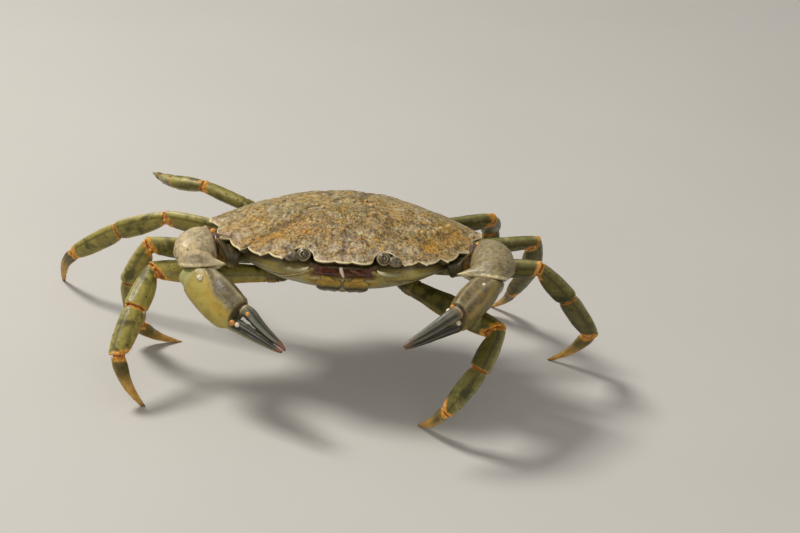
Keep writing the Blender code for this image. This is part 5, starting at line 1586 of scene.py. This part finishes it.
# the right antennule hangs down across the middle, the left one lies folded in its pit
ANTENNULES = {'right': ((-0.5, -21.2, -1.0), (-0.35, -21.5, -1.7), (-0.05, -21.4, -2.5), (0.2, -21.0, -3.3)),
              'left': ((1.7, -21.1, -1.5), (2.7, -21.3, -1.8), (3.8, -21.2, -2.2), (4.7, -20.9, -2.5))}
for side, sgn in (('left', 1), ('right', -1)):
    flip = np.array([sgn, 1, 1])
    # eye: ball with a pale ring round the window that looks forward, and pale glints painted on as highlights
    V, Q, T, _ = ball_mesh(np.array([0.0, 0, 0]), 1.62, ns=72, rows=48)
    look = unit(np.array([sgn * 0.10, -0.88, 0.44]))
    r = unit(V)
    ang = np.arccos(np.clip(r @ look, -1, 1))
    V = V * (1 + 0.04 * np.exp(-((ang - 1.0) / 0.09) ** 2) - 0.03 * np.exp(-((ang - 0.8) / 0.08) ** 2))[:, None]
    up_l = unit(np.array([0, 0.44, 0.88]))
    sidev = np.cross(look, up_l)
    px_, py_ = r @ sidev, r @ up_l
    hole = smoothstep(0.46, 0.30, np.hypot((px_ - 0.04) / 0.8, (py_ + 0.02) / 1.3))
    dark = np.maximum(0.9 * hole, 0.8 * np.exp(-((ang - 0.84) / 0.08) ** 2))
    # the glints are painted highlights, laid into the ring colour and cut out of the dark pupil
    glint = 0.7 * np.exp(-((ang - 0.5) / 0.07) ** 2) * smoothstep(-0.1, 0.4, -px_ * sgn) + 0.6 * np.exp(-((px_ + 0.05) / 0.07) ** 2 - ((py_ - 0.05) / 0.2) ** 2)
    A = {"ring": np.clip(0.85 * np.exp(-((ang - 1.0) / 0.08) ** 2) + glint, 0, 0.9), "pupil": np.clip(dark - glint, 0, 1), "lid": smoothstep(1.1, 1.2, ang)}
    piece("eye_%s_ball" % side, tilt(V + np.array(EYE) * flip), Q, T, M_EYE, A, ("eye_%s" % side,))
    V, Q, T, A = rod([np.array(q) * flip for q in ((10.2, -19.8, 0.75), (10.9, -20.1, 0.7), (11.6, -20.25, 0.6), (12.3, -20.4, 0.4), (13.0, -20.5, 0.1))], (0.7, 1.15, 1.2, 0.95, 0.35), ns=40, per=10)
    V = V + 0.09 * fbm(V, 0.9, 2, 5)[:, None]
    piece("eyestalk_%s_shell" % side, tilt(V), Q, T, M_STALK, A, ("eyestalk_%s" % side,))
    # feelers: antenna of many small rings, antennule folded down
    V, Q, T, A = rod([np.array(q) * flip for q in ((6.6, -21.4, -1.6), (8.2, -22.0, -2.3), (9.9, -22.2, -2.9), (11.7, -22.0, -3.4), (13.4, -21.4, -3.8))], (0.5, 0.40, 0.30, 0.24, 0.18), ns=16, per=22, rings=26)
    piece("antenna_%s_feeler" % side, tilt(V), Q, T, M_FEELER, A, ("antenna_%s" % side,))
    V, Q, T, A = rod(ANTENNULES[side], (0.38, 0.42, 0.36, 0.26), ns=20, per=14, rings=5)
    A["pale" if side == 'right' else "red"] = np.full(len(V) - 2, 0.85)
    piece("antennule_%s_feeler" % side, tilt(V), Q, T, M_FEELER, A, ("antennule_%s" % side,))
    # jaw foot: plate with a cross joint, a palp at its inner top corner and a fringe
    path = [(under_front(z), z) for z in (-4.5, -5.6, -7.2, -9.2, -10.9)]

    def jaw_detail(t, u):
        return -0.22 * math.exp(-((t - 1.6) / 0.09) ** 2) + 0.14 * np.exp(-((u * sgn + 0.72) / 0.16) ** 2) - 0.10 * np.exp(-((u * sgn - 0.1) / 0.2) ** 2)
    V, Q, T, S, X = plate(path, (2.2, 2.75, 2.8, 2.5, 1.7), 0.5, x_mid=sgn * 3.05, out=GAP + 0.05, detail=jaw_detail)
    # the lower part of the jaw foot is painted dark: painted shade
    A = {"groove": 0.9 * np.exp(-((S - 1.6) / 0.12) ** 2), "rim": 0.15 * smoothstep(0.85, 1.0, np.abs(X)), "blue": 0.3 * smoothstep(2.0, 3.0, S), "deep": 0.85 * smoothstep(0.7, 1.7, S), "gold": 0.9 * smoothstep(1.6, 0.8, S)}
    V = V + 0.03 * fbm(V, 1.2, 2, 8)[:, None]
    piece("maxilliped_%s_shell" % side, tilt(V), Q, T, M_UNDER, A, ("maxilliped_%s" % side,))
    palp = rod([np.array(q) * flip for q in ((4.6, -20.0, -4.2), (3.5, -20.4, -4.1), (2.3, -20.6, -4.4), (1.6, -20.4, -5.2))], (0.5, 0.52, 0.42, 0.26), ns=20, per=10, rings=2)
    piece("palp_%s" % side, tilt(palp[0]), palp[1], palp[2], M_UNDER, {"groove": palp[3]["band"] * 0.6, "gold": np.full(len(palp[0]), 0.8)})
    rng = np.random.default_rng(5)
    roots, dirs = [], []
    for _ in range(70):
        tq = rng.uniform(0, 1)
        roots.append(np.array([sgn * 0.55, np.interp(tq, [0, 1], [path[0][0] - 0.7, path[3][0] - 0.9]), np.interp(tq, [0, 1], [path[0][1], path[3][1]])]))
        dirs.append(np.array([-sgn * 1.0, -0.3, -0.2]))
    V, Q, T, A = bristles(tilt(np.array(roots)), np.array(dirs), 0.5, 0.03, seed=3)
    hairs.append((V, Q, T, A))
    # tooth under the eye, pale blue-grey; its white tip is a painted highlight
    V, Q, T, A = rod([np.array(q) * flip for q in ((13.2, -19.6, -2.5), (12.0, -20.5, -2.4), (10.6, -21.0, -2.3), (9.3, -21.3, -2.1), (8.3, -21.45, -1.75), (7.7, -21.4, -1.2))], (0.5, 0.62, 0.62, 0.6, 0.42, 0.12), ns=28, per=10)
    A = {"blue": np.full(len(V), 0.4), "rim": 0.7 * np.concatenate([np.repeat(np.linspace(0, 1, 51) ** 3, 28), [0, 1]])}
    piece("orbit_tooth_%s" % side, tilt(V), Q, T, M_UNDER, A)

# abdomen: seven rings, folded under the body
tail_path = [(22.9, -4.6), (21.9, -5.8), (20.5, -7.4), (18.3, -9.3), (15.2, -11.3), (11.9, -12.9), (6.0, -13.0), (1.0, -13.0), (-3.4, -13.0)][::-1]
seams = (0.9, 2.0, 3.1, 4.3, 5.4, 6.5)


def tail_detail(t, u):
    return -0.3 * sum(math.exp(-((t - s) / 0.07) ** 2) for s in seams) + 0.12 * np.exp(-(u / 0.35) ** 2)


V, Q, T, S, X = plate(tail_path, (1.4, 3.0, 4.2, 4.9, 6.0, 7.2, 8.3, 8.8, 8.6), 1.1, out=GAP + 0.15, per=14, cross=41, detail=tail_detail)
A = {"groove": sum(np.exp(-((S - s) / 0.09) ** 2) for s in seams), "rim": 0.3 * smoothstep(0.9, 1.0, np.abs(X)), "blue": np.full(len(S), 0.35)}
V = V + 0.04 * fbm(V, 1.5, 2, 8)[:, None]
piece("abdomen_shell", tilt(V), Q, T, M_UNDER, A, ("abdomen",))

V, Q, T, A = joined(skins)
piece("joint_skin", V, Q, T, M_SKIN, {})
V, Q, T, A = joined(skins_d)
piece("claw_joint_skin", V, Q, T, M_SKIN_D, {})
V, Q, T, A = joined(knobs)
piece("joint_knobs", V, Q, T, M_KNOB, {})
V, Q, T, A = joined(knobs_o)
piece("joint_knobs_orange", V, Q, T, M_KNOB_O, {})
V, Q, T, A = joined(hairs)
V[:, 2] = np.maximum(V[:, 2], 0.02)
piece("leg_bristles", V, Q, T, M_BRISTLE, {})


# ------------------------------------------------------------------ floor, light and camera
def stage_material(name, colour, rough):
    t = Tree(name, rough=rough, spec=0.3)
    c = t.ramp(t.noise(60.0, 3, 0.5), (0.3, tuple(v * 0.97 for v in colour)), (0.7, colour))
    return t.done(c)


floor_mesh = bpy.data.meshes.new("floor")
h = 3.0
floor_mesh.from_pydata([(-h, -h, 0), (h, -h, 0), (h, h, 0), (-h, h, 0)], [], [(0, 1, 2, 3)])
floor = bpy.data.objects.new("floor", floor_mesh)
floor.location = (0, 0, -0.00002)
bpy.context.scene.collection.objects.link(floor)
floor_mesh.materials.append(stage_material("floor_surface", srgb(188, 184, 177), 0.75))

world = bpy.data.worlds.new("studio")
bpy.context.scene.world = world
world.use_nodes = True
world.node_tree.nodes["Background"].inputs["Color"].default_value = (1.0, 0.985, 0.955, 1.0)
world.node_tree.nodes["Background"].inputs["Strength"].default_value = 0.40


def area(name, place, target, size, energy, colour=(1, 1, 1)):
    light = bpy.data.lights.new(name, 'AREA')
    light.size = size
    light.energy = energy
    light.color = colour
    ob = bpy.data.objects.new(name, light)
    ob.location = place
    dirv = np.array(target) - np.array(place)
    from mathutils import Vector
    ob.rotation_euler = Vector(dirv).to_track_quat('-Z', 'Y').to_euler()
    bpy.context.scene.collection.objects.link(ob)
    return ob


area("key", (-0.40, 0.14, 0.64), (0, 0, 0.02), 0.20, 5.2, (1.0, 0.985, 0.95))
area("front", (0.02, -0.46, 0.13), (0, 0, 0.015), 0.36, 0.45, (1.0, 0.97, 0.92))
area("fill", (0.1, -0.8, 0.5), (0, 0, 0.02), 0.6, 1.0, (0.97, 0.98, 1.0))
bpy.context.scene.view_settings.view_transform = 'Standard'

pos = (CAM_AT - CENTRE) * MM
cam_data = bpy.data.cameras.new("camera")
cam_data.sensor_fit = 'HORIZONTAL'
cam_data.sensor_width = 36.0
cam_data.lens = FOCAL * 36.0 / 800.0
cam_data.clip_start = 0.01
cam = bpy.data.objects.new("camera", cam_data)
from mathutils import Matrix
cam.matrix_world = Matrix(((CAM_R[0], CAM_U[0], -LOOK[0], pos[0]), (CAM_R[1], CAM_U[1], -LOOK[1], pos[1]), (CAM_R[2], CAM_U[2], -LOOK[2], pos[2]), (0, 0, 0, 1)))
bpy.context.scene.collection.objects.link(cam)
bpy.context.scene.camera = cam
